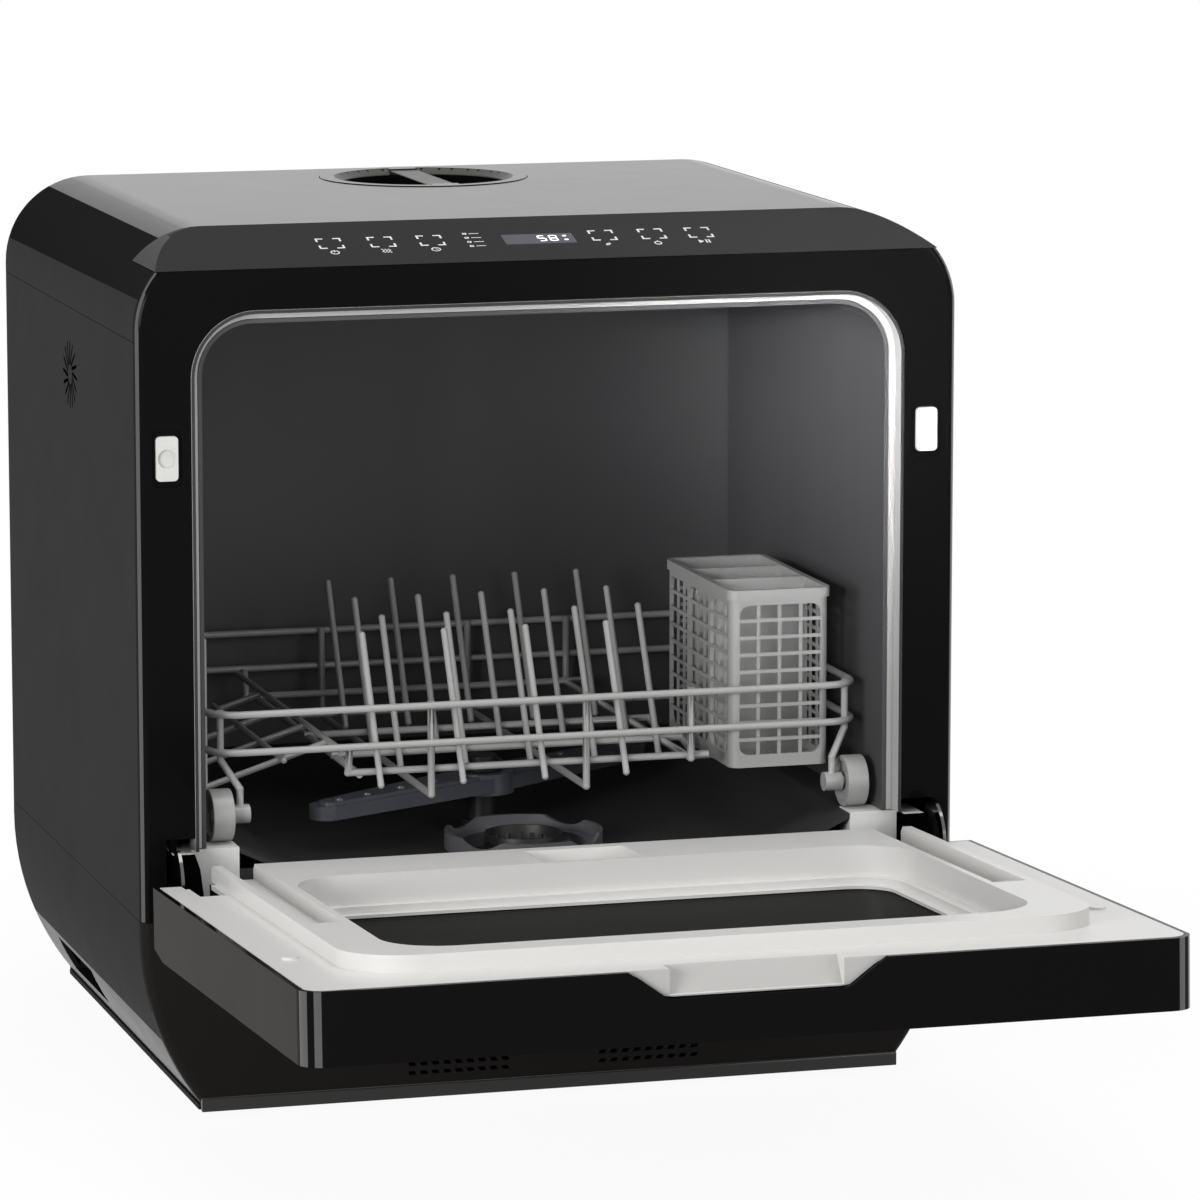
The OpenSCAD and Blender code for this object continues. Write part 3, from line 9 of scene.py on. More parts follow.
import bmesh
import bpy
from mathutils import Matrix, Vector

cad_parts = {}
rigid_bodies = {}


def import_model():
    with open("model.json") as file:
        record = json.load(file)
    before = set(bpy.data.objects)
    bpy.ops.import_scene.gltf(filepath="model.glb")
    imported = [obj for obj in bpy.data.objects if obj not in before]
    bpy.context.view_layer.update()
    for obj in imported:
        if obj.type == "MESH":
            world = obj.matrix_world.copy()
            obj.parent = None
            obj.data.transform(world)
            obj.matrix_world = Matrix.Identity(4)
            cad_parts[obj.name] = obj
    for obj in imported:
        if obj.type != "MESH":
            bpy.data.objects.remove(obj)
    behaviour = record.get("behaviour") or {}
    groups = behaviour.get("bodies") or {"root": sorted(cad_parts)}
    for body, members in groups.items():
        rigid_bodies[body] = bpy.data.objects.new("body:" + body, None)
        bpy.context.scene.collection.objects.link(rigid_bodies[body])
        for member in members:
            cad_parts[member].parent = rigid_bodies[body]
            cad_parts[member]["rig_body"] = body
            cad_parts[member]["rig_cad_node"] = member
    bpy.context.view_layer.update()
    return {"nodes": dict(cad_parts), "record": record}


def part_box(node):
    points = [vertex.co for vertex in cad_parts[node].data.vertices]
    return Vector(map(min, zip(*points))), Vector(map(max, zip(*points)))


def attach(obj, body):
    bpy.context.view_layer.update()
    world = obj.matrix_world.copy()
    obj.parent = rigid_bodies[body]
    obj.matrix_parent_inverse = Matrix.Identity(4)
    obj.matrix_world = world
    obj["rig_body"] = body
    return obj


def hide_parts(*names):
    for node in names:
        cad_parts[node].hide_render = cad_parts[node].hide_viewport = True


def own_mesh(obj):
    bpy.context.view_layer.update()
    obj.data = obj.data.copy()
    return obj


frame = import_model()
nodes = frame["nodes"]

# %% [markdown]
# ## Where the machine is seen from
# The frame's origin is on the worktop. A long lens stands left of the door and a little above it.
# The camera is turned by pointing its back along one direction, so it needs no tilting by hand.

# %% Camera
camera_data = bpy.data.cameras.new("camera")
camera_data.lens = 190.92
camera_data.sensor_width = 36
camera_data.sensor_fit = "HORIZONTAL"
camera_data.clip_end = 50
camera = bpy.data.objects.new("camera", camera_data)
bpy.context.scene.collection.objects.link(camera)
camera.location = (-0.84317, -3.005813, 0.7587)
camera_back = Vector((-0.27468, -0.94792, 0.16126))
camera.rotation_euler = camera_back.to_track_quat("Z", "Y").to_euler()
bpy.context.scene.camera = camera
bpy.context.scene.view_settings.view_transform = "Standard"
print("camera at", tuple(round(v, 3) for v in camera.location))

# %% [markdown]
# ## Floor and light
# The machine stands on a wide plane that fades to plain white, as the paper roll of a studio does.
# Colours are written as screen colours here, and `tone` turns them into what shaders count in.

# %% Colours and the floor's plane
FLOOR_DROP = 0.0004


def tone(code):
    """Turns a screen colour such as '3a3a3a' into the linear numbers that shaders use."""
    parts = [int(code[i:i + 2], 16) / 255 for i in (0, 2, 4)]
    return [p / 12.92 if p <= 0.04045 else ((p + 0.055) / 1.055) ** 2.4 for p in parts]


bpy.ops.object.select_all(action="DESELECT")
bpy.ops.mesh.primitive_plane_add(size=14, location=(0, 0, -FLOOR_DROP))
floor = bpy.context.object
floor.name = "studio_floor"
print("floor:", floor.dimensions.x, "m wide")

# %% [markdown]
# ## The floor's look
# A real floor under lamps is never quite white. So the floor is two things at once: a pale surface
# that catches the shadow, and a plain white light. A Light Path node gives the white to what looks
# at it, and its share grows with the distance from the machine until only white is left.

# %% The floor's look
def seen_directly(tree):
    """A 0 or 1 that tells what the camera, a gloss or a glass looks at."""
    path = tree.nodes.new("ShaderNodeLightPath")
    first = tree.nodes.new("ShaderNodeMath")
    first.operation = "MAXIMUM"
    tree.links.new(path.outputs["Is Camera Ray"], first.inputs[0])
    tree.links.new(path.outputs["Is Transmission Ray"], first.inputs[1])
    both = tree.nodes.new("ShaderNodeMath")
    both.operation = "MAXIMUM"
    tree.links.new(first.outputs[0], both.inputs[0])
    tree.links.new(path.outputs["Is Glossy Ray"], both.inputs[1])
    return both.outputs[0]


floor_look = bpy.data.materials.new("studio_floor")
floor_look.use_nodes = True
tree = floor_look.node_tree
tree.nodes.clear()
out = tree.nodes.new("ShaderNodeOutputMaterial")
mix = tree.nodes.new("ShaderNodeMixShader")
place = tree.nodes.new("ShaderNodeTexCoord")
reach = tree.nodes.new("ShaderNodeVectorMath")
reach.operation = "LENGTH"
tree.links.new(place.outputs["Object"], reach.inputs[0])
fade = tree.nodes.new("ShaderNodeMapRange")
fade.inputs["From Min"].default_value = 0.3
fade.inputs["From Max"].default_value = 0.75
fade.inputs["To Min"].default_value = 0.94
fade.inputs["To Max"].default_value = 1.0
tree.links.new(reach.outputs["Value"], fade.inputs["Value"])
share = tree.nodes.new("ShaderNodeMath")
share.operation = "MULTIPLY"
tree.links.new(fade.outputs["Result"], share.inputs[1])
pale = tree.nodes.new("ShaderNodeBsdfDiffuse")
pale.inputs["Color"].default_value = (0.92, 0.92, 0.92, 1)
white = tree.nodes.new("ShaderNodeEmission")
white.inputs["Color"].default_value = (1, 1, 1, 1)
white.inputs["Strength"].default_value = 1.0
tree.links.new(seen_directly(tree), share.inputs[0])
tree.links.new(share.outputs[0], mix.inputs[0])
tree.links.new(pale.outputs[0], mix.inputs[1])
tree.links.new(white.outputs[0], mix.inputs[2])
tree.links.new(mix.outputs[0], out.inputs["Surface"])
floor.data.materials.append(floor_look)
print("floor's white:", fade.inputs["To Min"].default_value, "to", fade.inputs["To Max"].default_value)

# %% [markdown]
# ## The world
# The world is white to the camera and to reflections, and dim to everything else. A single bright
# world would light the inside of the tub from all sides and leave no shade in it.

# %% The world
world = bpy.data.worlds.new("studio")
bpy.context.scene.world = world
world.use_nodes = True
tree = world.node_tree
tree.nodes.clear()
out = tree.nodes.new("ShaderNodeOutputWorld")
dim = tree.nodes.new("ShaderNodeBackground")
dim.inputs["Color"].default_value = (1, 1, 1, 1)
dim.inputs["Strength"].default_value = 0.34
bright = tree.nodes.new("ShaderNodeBackground")
bright.inputs["Color"].default_value = (1, 1, 1, 1)
bright.inputs["Strength"].default_value = 1.0
both = tree.nodes.new("ShaderNodeMixShader")
tree.links.new(seen_directly(tree), both.inputs[0])
tree.links.new(dim.outputs[0], both.inputs[1])
tree.links.new(bright.outputs[0], both.inputs[2])
tree.links.new(both.outputs[0], out.inputs["Surface"])
print("world:", dim.inputs["Strength"].default_value, "for light")

# %% [markdown]
# ## Lamps
# The lamps are large and soft, as in a studio for appliances: gloss black shows nothing but what it
# reflects, so the large lamps are what draws its edges. One small lamp has its light kept in a
# beam, and reaches the side wall of the tub through the opening.

# %% Lamps
def lamp(name, place, aim, size, power, spread=180):
    """An area lamp that looks from place to aim; a small spread keeps its light in a beam."""
    data = bpy.data.lights.new(name, "AREA")
    data.shape = "RECTANGLE"
    data.size, data.size_y = size
    data.energy = power
    data.spread = math.radians(spread)
    lamp_object = bpy.data.objects.new(name, data)
    bpy.context.scene.collection.objects.link(lamp_object)
    lamp_object.location = place
    lamp_object.rotation_euler = (Vector(place) - Vector(aim)).to_track_quat("Z", "Y").to_euler()
    return lamp_object


lamp("left_key", (-1.75, -1.55, 0.62), (0.05, 0.1, 0.25), (1.0, 0.7), 34)
lamp("roof_glow", (0.1, -0.3, 2.3), (0, -0.1, 0.2), (1.6, 1.4), 29)
lamp("right_fill", (1.6, -1.9, 0.9), (0, 0, 0.2), (1.2, 0.9), 15)
lamp("tub_beam", (-0.75, -1.55, 0.62), (0.195, 0.06, 0.37), (0.12, 0.12), 0.22, 9)

# %% [markdown]
# ## One recipe for moulded and painted finishes
# Nearly every finish here is a Principled shader with three quiet patterns on Object coordinates:
# a wide one that shifts the colour a little, a middle one that shifts the roughness, and a fine
# one that makes grain through a Bump node. `stretch` pulls the fine one out along an axis, which
# is all that brushed steel needs. `shine` is the reflection at a glance: black plastic that stands
# in a white room needs very little of it, or its faces turn grey where we look along them.

# %% The finish recipe
looks = {}


def finish(name, colour, rough, metal=0.0, shade=0.05, wide=9.0, wear=0.06, grain=0.0, fine=1400.0,
           stretch=(1, 1, 1), shine=0.5):
    """A procedural finish; colour is a screen colour, grain the height of its bumps."""
    look = bpy.data.materials.new(name)
    look.use_nodes = True
    tree = look.node_tree
    shader = tree.nodes["Principled BSDF"]
    shader.inputs["Metallic"].default_value = metal
    shader.inputs["Specular IOR Level"].default_value = shine
    place = tree.nodes.new("ShaderNodeTexCoord")
    spread = tree.nodes.new("ShaderNodeMapping")
    spread.inputs["Scale"].default_value = stretch
    tree.links.new(place.outputs["Object"], spread.inputs["Vector"])
    cloud = tree.nodes.new("ShaderNodeTexNoise")
    cloud.inputs["Scale"].default_value = wide
    cloud.inputs["Detail"].default_value = 4
    tree.links.new(place.outputs["Object"], cloud.inputs["Vector"])
    ramp = tree.nodes.new("ShaderNodeValToRGB")
    base = tone(colour)
    ramp.color_ramp.elements[0].position = 0.3
    ramp.color_ramp.elements[1].position = 0.7
    ramp.color_ramp.elements[0].color = [c * (1 - shade) for c in base] + [1]
    ramp.color_ramp.elements[1].color = [min(1, c * (1 + shade)) for c in base] + [1]
    tree.links.new(cloud.outputs["Fac"], ramp.inputs["Fac"])
    tree.links.new(ramp.outputs["Color"], shader.inputs["Base Color"])
    smudge = tree.nodes.new("ShaderNodeTexNoise")
    smudge.inputs["Scale"].default_value = wide * 4
    smudge.inputs["Detail"].default_value = 6
    tree.links.new(spread.outputs["Vector"], smudge.inputs["Vector"])
    span = tree.nodes.new("ShaderNodeMapRange")
    span.inputs["From Min"].default_value = 0.3
    span.inputs["From Max"].default_value = 0.7
    span.inputs["To Min"].default_value = max(0.02, rough - wear)
    span.inputs["To Max"].default_value = min(1.0, rough + wear)
    tree.links.new(smudge.outputs["Fac"], span.inputs["Value"])
    tree.links.new(span.outputs["Result"], shader.inputs["Roughness"])
    if grain > 0:
        dots = tree.nodes.new("ShaderNodeTexNoise")
        dots.inputs["Scale"].default_value = fine
        dots.inputs["Detail"].default_value = 3
        tree.links.new(spread.outputs["Vector"], dots.inputs["Vector"])
        bump = tree.nodes.new("ShaderNodeBump")
        bump.inputs["Strength"].default_value = grain
        bump.inputs["Distance"].default_value = 0.0004
        tree.links.new(dots.outputs["Fac"], bump.inputs["Height"])
        tree.links.new(bump.outputs["Normal"], shader.inputs["Normal"])
    looks[name] = look
    return look


# %% [markdown]
# ## The machine's finishes
# Each record slot gets one finish. The casing is satin charcoal paint with a fine grain, and the
# front is gloss black, so it is smooth and has no grain. Coated wire is smoother than the moulded
# basket. Steel in the tub is brushed along its height.

# %% Finishes for every slot
finish("casing_side", "232323", 0.5, shade=0.012, wear=0.015, grain=0.1, fine=1900, shine=0.01)
finish("casing_base", "1d1b1a", 0.3, shade=0.02, wear=0.02, grain=0.06, fine=1900, shine=0.04)
finish("top_black", "101010", 0.13, shade=0.04, wear=0.01, grain=0.01, shine=0.045)
finish("fascia_black", "0c0c0c", 0.1, shade=0.05, wear=0.01, shine=0.03)
finish("panel_grey", "262627", 0.3, shade=0.02, wear=0.02, grain=0.02, shine=0.015)
finish("display_glass", "3a3a44", 0.14, shade=0.06, wear=0.02, shine=0.15)
finish("door_glass", "080807", 0.05, shade=0.05, wear=0.01, shine=0.0012)
finish("circuit_board", "1f5c38", 0.5, shade=0.2, wide=60)
finish("tub_steel", "545456", 0.4, metal=0.2, shade=0.03, wear=0.03, grain=0.05, fine=500,
       stretch=(1, 1, 0.04), shine=0.12)
finish("basin_black", "363637", 0.36, shade=0.06, wear=0.02, grain=0.04, shine=0.2)
finish("trim_grey", "b0b1b0", 0.35, shade=0.02, wear=0.02, grain=0.02)
finish("seal_rubber", "161616", 0.6, shade=0.05, grain=0.1, shine=0.1)
finish("light_grey", "dededc", 0.38, shade=0.02, wear=0.02, grain=0.04)
finish("door_liner", "d1d0ce", 0.36, shade=0.012, wear=0.02, grain=0.03, fine=1700, shine=0.35)
finish("white_plastic", "c6c6c2", 0.3, shade=0.01, wear=0.02, grain=0.02)
finish("zinc_steel", "b4b4b4", 0.3, metal=1.0, shade=0.05)
finish("polished_stay", "626260", 0.14, metal=1.0, shade=0.04, wear=0.04)
finish("wire_grey", "a3a3a2", 0.3, shade=0.02, wear=0.03, grain=0.02)
finish("grey_plastic", "9c9c9b", 0.36, shade=0.02, wear=0.03, grain=0.04)
finish("arm_blue_grey", "54565d", 0.26, shade=0.05, wear=0.03, shine=0.45)
finish("dark_plastic", "232325", 0.4, shade=0.05, wear=0.03, grain=0.04, shine=0.25)
finish("mesh_steel", "5f5f5e", 0.36, metal=0.9, shade=0.05)
finish("tank_plastic", "d2d8dc", 0.3, shade=0.03)
finish("motor_metal", "3d3d40", 0.45, metal=0.3, shade=0.06, grain=0.06)
for part in frame["record"]["subparts"]:
    node = nodes[part["node"]]
    node.data.materials.clear()
    node.data.materials.append(looks[part["material_slot"]])
print("slot finishes:", len(looks))

# %% [markdown]
# ## Finishes for single faces
# One piece of the real machine can look like two: its face is in the light and its round is not, or
# one side of it is darker. Most of the finishes here paint that light and shade into the colour of
# single faces; they belong to no slot. They wait here until the copies of the pieces are made, and
# then go on the faces that need them.

# %% Finishes for single faces
# painted shade: the roof's left rounds next to its top get a duller copy of the top's finish
finish("roof_turn", "121212", 0.2, shade=0.04, wear=0.01, grain=0.01, shine=0.04)
# painted shade: the roof's rounds and sides get a copy of its finish with no shine, so they render
# darker than its top
finish("roof_side", "1f1f1f", 0.35, shade=0.02, wear=0.015, grain=0.05, fine=1900, shine=0.0)
# painted light: the door's upright sides are a lighter brown-grey than its black front, for the light
# they catch
finish("door_side", "252220", 0.3, shade=0.04, wide=4, wear=0.02, shine=0.008)
finish("scoop_shade", "a9a8a6", 0.4, shade=0.012, wear=0.02, grain=0.03, fine=1700, shine=0.3)
# painted highlight: lighter, fully shiny bands on the rounded corners of the door and the fascia
finish("edge_gloss", "303030", 0.12, shade=0.02, wear=0.01, shine=1.0)
finish("filter_grey", "5e5e62", 0.3, shade=0.04, wear=0.03, grain=0.03, shine=0.5)
# painted shade: plain black for the walls of slots and hinge ears, where shade falls
finish("slot_black", "040404", 0.6, shade=0.02, shine=0.0)
# painted shade: the trim's front faces are dark, so only its light inner edge reads light
finish("trim_front", "343435", 0.25, shade=0.03, wear=0.02, shine=0.2)
finish("seal_front", "b2b2b1", 0.4, shade=0.02, wear=0.02, shine=0.3)
finish("base_turn", "1d1b1a", 0.3, shade=0.02, wear=0.02, grain=0.06, fine=1900, shine=0.08)
# painted light: the lid's well is a lighter grey than its rim, for the light it catches
finish("lid_well", "4a4a47", 0.35, shade=0.03, wear=0.02, grain=0.02, shine=0.1)
finish("plinth_gloss", "2a2928", 0.25, shade=0.03, wear=0.02, shine=0.25)
print("finishes:", len(looks))

# %% [markdown]
# ## Soft edges on hard parts
# A real moulding has no knife edges: a half-millimetre round on each edge is what catches the
# light. A CAD mesh is loose triangles, so we copy it, merge its points, join the flat triangles
# to whole faces, and only then bevel what is sharp. The copy stands for the node.

# %% Copies with rounded edges
MERGE_WITHIN = 0.000002
FLAT_WITHIN = math.radians(0.8)
SMOOTH_UP_TO = math.radians(34)
BEVEL_OVER = math.radians(28)


def soft_copy(name, width):
    """A merged copy of a CAD node, which it replaces; width is the round's, or 0 for no round."""
    source = nodes[name]
    bpy.ops.object.select_all(action="DESELECT")
    source.select_set(True)
    bpy.context.view_layer.objects.active = source
    bpy.ops.object.duplicate()
    piece = bpy.context.object
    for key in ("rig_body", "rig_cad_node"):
        if key in piece:
            del piece[key]
    piece.name = name + "_look"
    piece.data.name = piece.name
    bpy.ops.object.mode_set(mode="EDIT")
    bpy.ops.mesh.select_all(action="SELECT")
    bpy.ops.mesh.remove_doubles(threshold=MERGE_WITHIN)
    bpy.ops.mesh.dissolve_limited(angle_limit=FLAT_WITHIN)
    bpy.ops.object.mode_set(mode="OBJECT")
    if width > 0:
        round_edges = piece.modifiers.new("round_edges", "BEVEL")
        round_edges.width = width
        round_edges.segments = 2
        round_edges.limit_method = "ANGLE"
        round_edges.angle_limit = BEVEL_OVER
        round_edges.use_clamp_overlap = True
        bpy.ops.object.modifier_apply(modifier="round_edges")
    bpy.ops.object.shade_smooth_by_angle(angle=SMOOTH_UP_TO)
    # large faces keep their own normal, so flat stretches look flat right up to the round
    flat_faces = piece.modifiers.new("flat_faces", "WEIGHTED_NORMAL")
    flat_faces.keep_sharp = True
    flat_faces.weight = 80
    bpy.ops.object.modifier_apply(modifier="flat_faces")
    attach(piece, source["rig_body"])
    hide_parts(name)
    return piece


# %% [markdown]
# ## Which pieces get a round
# Thin trims get a small round and thick mouldings a wide one. Wire and bent sheet are round or thin
# already, so their copies are merged and smoothed only.

# %% The pieces and their rounds in millimetres
rounded = {
    "base_housing": 0.6, "left_panel": 0.4, "right_panel": 0.4, "top_cover": 0.6, "front_fascia": 0.6,
    "control_panel": 0.5, "door_shell": 0.6, "door_inner_panel": 0.8, "tub_trim": 0.3,
    "hinge_block_left": 0.8, "hinge_block_right": 0.8, "catch_left": 0.6, "catch_right": 0.6,
    "cutlery_basket": 0.4, "tank_lid": 0.6, "spray_arm": 0.8, "filter_cup": 0.5,
    "roller_front_left": 0.6, "roller_front_right": 0.6, "roller_rear_left": 0.6,
    "roller_rear_right": 0.6, "spray_nut": 0.6, "back_panel": 0.4,
}
unrounded = ("rack_frame", "rack_tines", "mug_shelf", "tub", "basin", "door_stay_left",
             "door_stay_right", "door_gasket")
soft = {name: soft_copy(name, width / 1000) for name, width in rounded.items()}
for name in unrounded:
    soft[name] = soft_copy(name, 0)
print("soft copies:", {n: len(o.data.polygons) for n, o in soft.items()})

# %% [markdown]
# ## Where black turns a corner
# On a gloss moulding the flat faces stay black, and only the rounds catch the light. A copy can get
# a second finish, and its faces are picked by the way they look and where they are, not one by one.
# The roof's rounds and sides get duller copies of its finish, as painted shade, so they render
# darker than its top; its skirt is as satin as the sides below it.

# %% A finish by the way a face looks
def turn_finish(name, look, rule):
    """Gives the faces of a soft copy for which rule(normal, middle) holds another finish."""
    piece = soft[name]
    piece.data.materials.append(looks[look])
    count = 0
    for face in piece.data.polygons:
        if rule(face.normal, face.center):
            face.material_index = len(piece.data.materials) - 1
            count += 1
    print(name, "faces in", look + ":", count)


ROOF_TOP = 0.985
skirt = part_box("top_cover")[1][2] - 0.03
# painted shade on the roof's rounds and sides; the skirt keeps the satin finish of the casing
turn_finish("top_cover", "roof_side", lambda n, m: n.z <= ROOF_TOP)
turn_finish("top_cover", "roof_turn", lambda n, m: n.x < 0 and 0.9 < n.z <= ROOF_TOP)
turn_finish("top_cover", "casing_side",
            lambda n, m: m.z < skirt and (abs(n.x) > 0.9 or n.y > 0.9))

# %% [markdown]
# ## Sides of the base, trim, slots and hinges
# The upper sides of the base are as satin as the casing, and their sweep under the machine shines a
# little. The trim round the opening has its front painted dark as painted shade, so only its light
# inner edge reads light, with a light seal behind it. Slots and hinge ears are deep and unlit, so
# their walls are painted black as painted shade.

# %% Base, trim, slots and hinges
STEEP = 0.93
turn_finish("base_housing", "casing_side", lambda n, m: abs(n.x) > STEEP and abs(m.x) > 0.18)
turn_finish("base_housing", "base_turn",
            lambda n, m: 0.8 < abs(n.x) <= STEEP and abs(m.x) > 0.17 and n.z < -0.2)
# painted shade: the trim's front faces get a dark copy of its grey
turn_finish("tub_trim", "trim_front", lambda n, m: n.y < -0.7)
turn_finish("door_gasket", "seal_front", lambda n, m: True)

EAR_FROM = 0.183
PANEL_RIM = 0.015
for side in ("left", "right"):
    low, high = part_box(side + "_panel")

    def in_slot(n, m):
        """Walls of the side's slots: not its flat faces, and not its own rim."""
        inside_y = low.y + PANEL_RIM < m.y < high.y - PANEL_RIM
        inside_z = low.z + PANEL_RIM < m.z < high.z - PANEL_RIM
        return abs(n.x) < 0.85 and inside_y and inside_z

    # painted shade: the walls of the side slots and the hinge ears are painted black
    turn_finish(side + "_panel", "slot_black", in_slot)
    turn_finish("hinge_block_" + side, "slot_black", lambda n, m: abs(m.x) > EAR_FROM)

# %% [markdown]
# ## Filter, lid and door
# The filter cup is a lighter grey than the floor it stands in. The lid's well is painted a lighter
# grey than its rim, as painted light. The door's long sides are painted a lighter brown-black than its
# front, as painted light, and two bands on each of its upright corners are painted highlights, as on
# the fascia. The finger scoop is in the shade of its own lip.

# %% Filter, lid and door
lid_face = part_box("tank_lid")[1][2] - 0.0007
door_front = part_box("door_shell")[0][1]
turn_finish("filter_cup", "filter_grey", lambda n, m: True)
# painted light: the lid's well is lighter than its rim
turn_finish("tank_lid", "lid_well", lambda n, m: m.z < lid_face and n.z > 0.2)
# painted light: the door's upright sides are lighter than its front
turn_finish("door_shell", "door_side", lambda n, m: abs(n.x) > 0.97)
# painted highlights: two bands on each upright corner of the door, and on the fascia's corners
turn_finish("door_shell", "edge_gloss",
            lambda n, m: n.y < -0.15 and (0.30 < abs(n.x) < 0.5 or 0.8 < abs(n.x) < 0.95))
turn_finish("front_fascia", "edge_gloss", lambda n, m: n.y < -0.1 and 0.6 < abs(n.x) < 0.97)
turn_finish("door_inner_panel", "scoop_shade",
            lambda n, m: m.y < door_front + 0.03 and n.y < -0.2)

# %% [markdown]
# ## Catch springs
# A door catch presses a small coil spring against its case. The case end stays where it is, and the
# coils draw together as the catch moves in. Each spring's copy is merged and smoothed, with a mesh of
# its own.

# %% Catch springs
for side in ("left", "right"):
    coil = soft_copy("catch_spring_" + side, 0)
    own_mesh(coil)

# %% [markdown]
# ## The lip under the front
# The base ends in a low lip that stands a little proud of its front. It is one long bar: a cube at
# its size and place, with the upper front edge rounded wide, so that it runs into the face above.

# %% Front lip
LIP_HIGH, LIP_PROUD, LIP_DEEP, LIP_HALF = 0.0072, 0.0014, 0.004, 0.1806
base_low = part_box("base_housing")[0]
lip_middle = (0, base_low.y - LIP_PROUD + LIP_DEEP / 2, base_low.z + LIP_HIGH / 2)
bpy.ops.object.select_all(action="DESELECT")
bpy.ops.mesh.primitive_cube_add(size=1, location=lip_middle)
lip = bpy.context.object
lip.name = lip.data.name = "front_lip"
lip.scale = (2 * LIP_HALF, LIP_DEEP, LIP_HIGH)
bpy.ops.object.transform_apply(location=True, rotation=True, scale=True)
bpy.ops.object.mode_set(mode="EDIT")
bpy.ops.mesh.select_all(action="DESELECT")
bpy.ops.mesh.select_mode(type="EDGE")
shape = bmesh.from_edit_mesh(lip.data)
for edge in shape.edges:
    edge.select_set(all(v.co.y < base_low.y and v.co.z > lip_middle[2] for v in edge.verts))
bmesh.update_edit_mesh(lip.data)
bpy.ops.mesh.bevel(offset=0.0013, segments=5, affect="EDGES")
bpy.ops.object.mode_set(mode="OBJECT")
small = lip.modifiers.new("small", "BEVEL")
small.width, small.segments, small.limit_method = 0.0004, 2, "ANGLE"
bpy.ops.object.modifier_apply(modifier="small")
bpy.ops.object.shade_smooth_by_angle(angle=SMOOTH_UP_TO)
lip.data.materials.append(looks["plinth_gloss"])
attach(lip, "cabinet")
print("lip:", [round(v * 1000, 1) for v in lip.dimensions], "mm")

# %% [markdown]
# ## Prints on the control panel
# The keys are prints on the slope: a broken square for each, with a small sign under it. A print
# starts as a fine grid; a rule on its coordinates says which cells are ink, the other cells are
# deleted, and Solidify gives the ink its thickness. The slope's tilt comes from the panel's box.

# %% How a print is made
panel_low, panel_high = [Vector(corner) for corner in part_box("control_panel")]
panel_tilt = math.atan2(panel_high.z - panel_low.z, panel_high.y - panel_low.y)
UP_SLOPE = 0.027
slope_middle = Vector((0, panel_low.y + UP_SLOPE * math.cos(panel_tilt),
                       panel_low.z + UP_SLOPE * math.sin(panel_tilt)))
INK = 0.00010


def printed(name, u, v, half_u, half_v, ink, look, cell=0.00025):
    """A flat print at (u, v) on the slope; ink(x, y) in millimetres says which cells stay."""
    count = (round(2 * half_u / cell), round(2 * half_v / cell))
    bpy.ops.object.select_all(action="DESELECT")
    bpy.ops.mesh.primitive_grid_add(x_subdivisions=count[0], y_subdivisions=count[1], size=2)
    piece = bpy.context.object
    piece.name = name
    piece.data.name = name
    piece.scale = (half_u, half_v, 1)
    bpy.ops.object.transform_apply(scale=True)
    bpy.ops.object.mode_set(mode="EDIT")
    bpy.ops.mesh.select_all(action="DESELECT")
    bpy.ops.mesh.select_mode(type="FACE")
    grid = bmesh.from_edit_mesh(piece.data)
    for face in grid.faces:
        middle = face.calc_center_median() * 1000
        face.select_set(not ink(middle.x, middle.y))
    bmesh.update_edit_mesh(piece.data)
    bpy.ops.mesh.delete(type="FACE")
    bpy.ops.mesh.select_all(action="SELECT")
    bpy.ops.mesh.dissolve_limited(angle_limit=math.radians(1))
    bpy.ops.object.mode_set(mode="OBJECT")
    thick = piece.modifiers.new("thick", "SOLIDIFY")
    thick.thickness = INK
    thick.offset = 1
    bpy.ops.object.modifier_apply(modifier="thick")
    across = Vector((0, math.cos(panel_tilt), math.sin(panel_tilt)))
    out_of_slope = Vector((0, -math.sin(panel_tilt), math.cos(panel_tilt)))
    piece.rotation_euler = (panel_tilt, 0, 0)
    piece.location = slope_middle + Vector((u, 0, 0)) + across * v + out_of_slope * (INK * 0.1)
    bpy.ops.object.transform_apply(location=True, rotation=True, scale=False)
    piece.data.materials.clear()
    piece.data.materials.append(looks[look])
    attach(piece, "cabinet")
    return piece


# %% [markdown]
# ## The signs
# Each sign is a small rule in millimetres from the middle of its print: a broken ring and a bar for
# power, waves for drying, a dial for delay, a leaf, a fruit, and the usual arrow and bars. The
# display's digits light the segments they need.

# %% Signs
def broken_square(x, y):
    far, near = max(abs(x), abs(y)), min(abs(x), abs(y))
    return 5.3 < far < 6.3 and near > 2.6


def ring(x, y, r, w):
    return abs(math.hypot(x, y) - r) < w / 2


def power_sign(x, y):
    gap, bar = abs(x) < 0.8 and y > 0, abs(x) < 0.3 and 0.4 < y < 2.6
    return (ring(x, y, 2.0, 0.6) and not gap) or bar


def dry_sign(x, y):
    wave = 0.45 * math.sin(2.4 * y)
    return any(abs(x - k - wave) < 0.28 for k in (-1.6, 0, 1.6)) and abs(y) < 2.2


def delay_sign(x, y):
    long_hand, short_hand = abs(x) < 0.25 and 0 < y < 1.5, abs(y) < 0.25 and 0 < x < 1.2
    return ring(x, y, 2.1, 0.55) or long_hand or short_hand


def leaf_sign(x, y):
    inside = math.hypot(x - 1.4, y + 1.4) < 2.9 and math.hypot(x + 1.4, y - 1.4) < 2.9
    return inside and abs(x - y) > 0.3


def fruit_sign(x, y):
    return ring(x, y + 0.4, 1.7, 0.6) or (abs(x - 0.4 * y + 0.5) < 0.26 and 1.2 < y < 2.6)


def start_sign(x, y):
    arrow = -3.2 < x < -0.4 and abs(y) < (-0.4 - x) * 0.7
    return arrow or (abs(y) < 1.9 and (0.5 < x < 1.2 or 2.0 < x < 2.7))


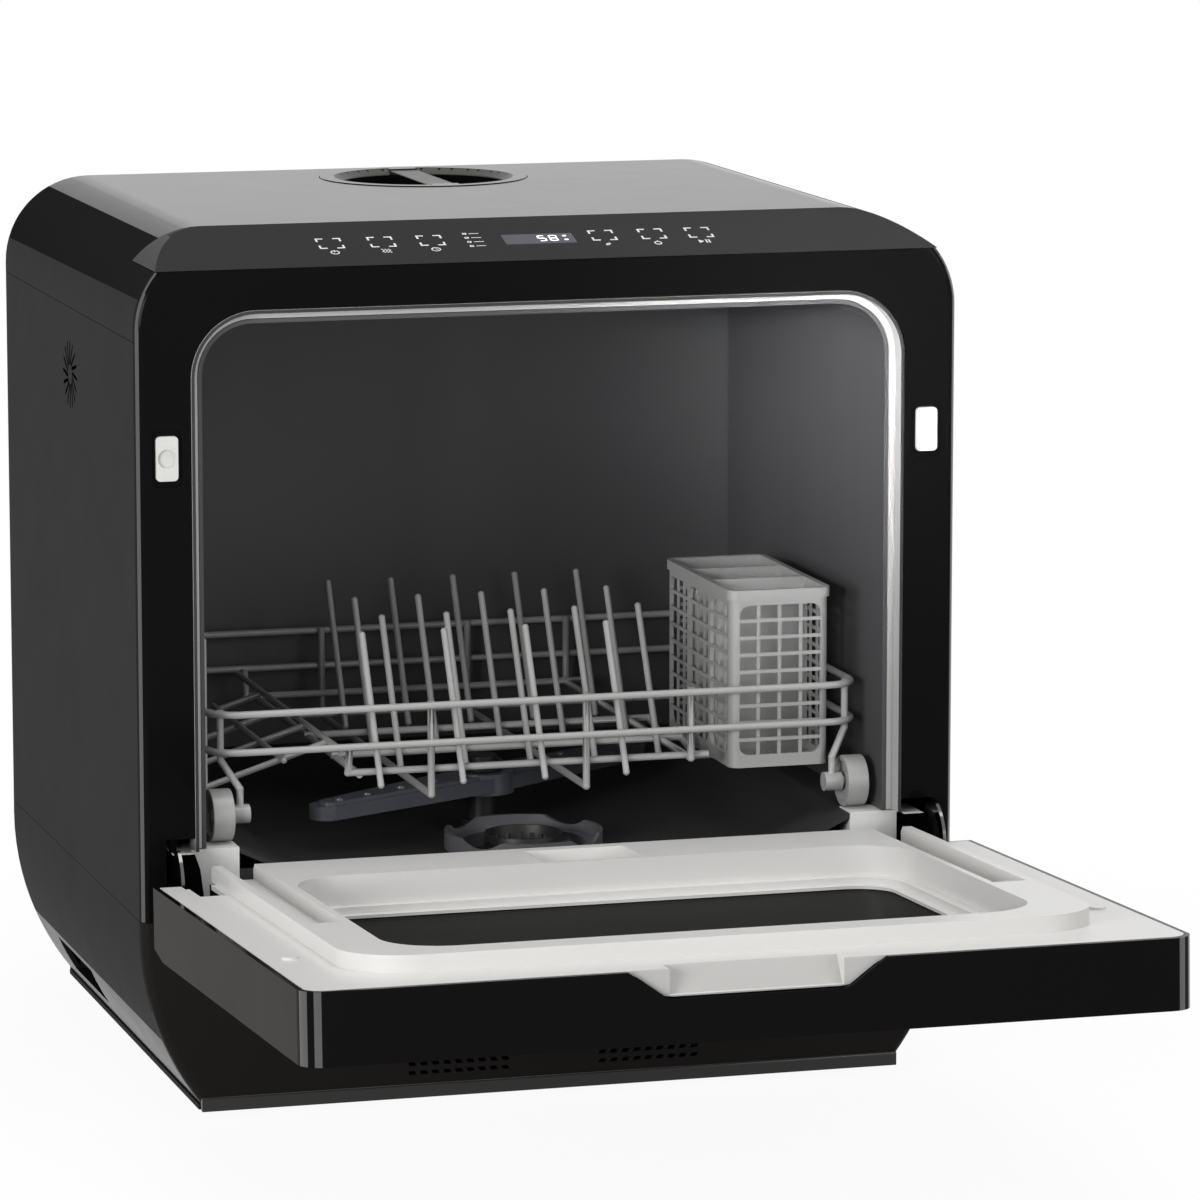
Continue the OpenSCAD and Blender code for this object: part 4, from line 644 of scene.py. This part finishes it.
def row_sign(x, y):
    return (abs(x + 3.2) < 1.0 and abs(y) < 0.9 and not (abs(x + 3.2) < 0.5 and abs(y) < 0.4)) or (
        -0.8 < x < 4.2 and abs(y) < 0.35)


SEGMENTS = {"a": (0, 1, 1), "g": (0, 0, 1), "d": (0, -1, 1), "f": (-1, 0.5, 0), "b": (1, 0.5, 0),
            "e": (-1, -0.5, 0), "c": (1, -0.5, 0)}
LIT = {"5": "afgcd", "8": "abcdefg"}


def digit(which):
    """A seven-segment digit, 4 mm wide and 7 mm high."""
    def ink(x, y):
        for name in LIT[which]:
            across, up, flat = SEGMENTS[name]
            dx, dy = abs(x - across * 1.7), abs(y - up * 3.1)
            if flat and dx < 1.5 and dy < 0.42 or not flat and dx < 0.42 and dy < 1.35:
                return True
        return False
    return ink


# %% [markdown]
# ## Printing them
# The keys' prints are matt and light. The display's digits also give off a little light of their
# own, through the shader's emission.

# %% Print the keys and the display
finish("key_print", "d9d9d9", 0.45, shade=0.01, wear=0.02)
finish("display_light", "e8ecff", 0.4, shade=0.01, wear=0.02)
glow = looks["display_light"].node_tree.nodes["Principled BSDF"]
glow.inputs["Emission Color"].default_value = (0.86, 0.89, 1, 1)
glow.inputs["Emission Strength"].default_value = 0.9

signs = [(-0.106, power_sign), (-0.080, dry_sign), (-0.055, delay_sign), (0.033, leaf_sign),
         (0.0586, fruit_sign), (0.083, start_sign)]
for place, (u, sign) in enumerate(signs):
    printed("key_square_%d" % place, u, 0.0015, 0.0064, 0.0064, broken_square,
            "key_print", 0.0005)
    printed("key_sign_%d" % place, u, -0.0098, 0.0034, 0.003, sign, "key_print")
for row in range(4):
    printed("program_sign_%d" % row, -0.033, 0.0085 - row * 0.0052, 0.0044, 0.0012, row_sign,
            "key_print")
for place, which in enumerate("58"):
    printed("display_digit_%d" % place, 0.0015 + place * 0.0058, 0, 0.0024, 0.004, digit(which),
            "display_light")
printed("display_unit", 0.0135, 0, 0.0012, 0.004,
        lambda x, y: abs(x) < 0.9 and abs(abs(y) - 2.4) < 0.6, "display_light")
prints = [o for o in bpy.data.objects if o.name.startswith(("key_", "program_", "display_"))]
print("prints:", len(prints))
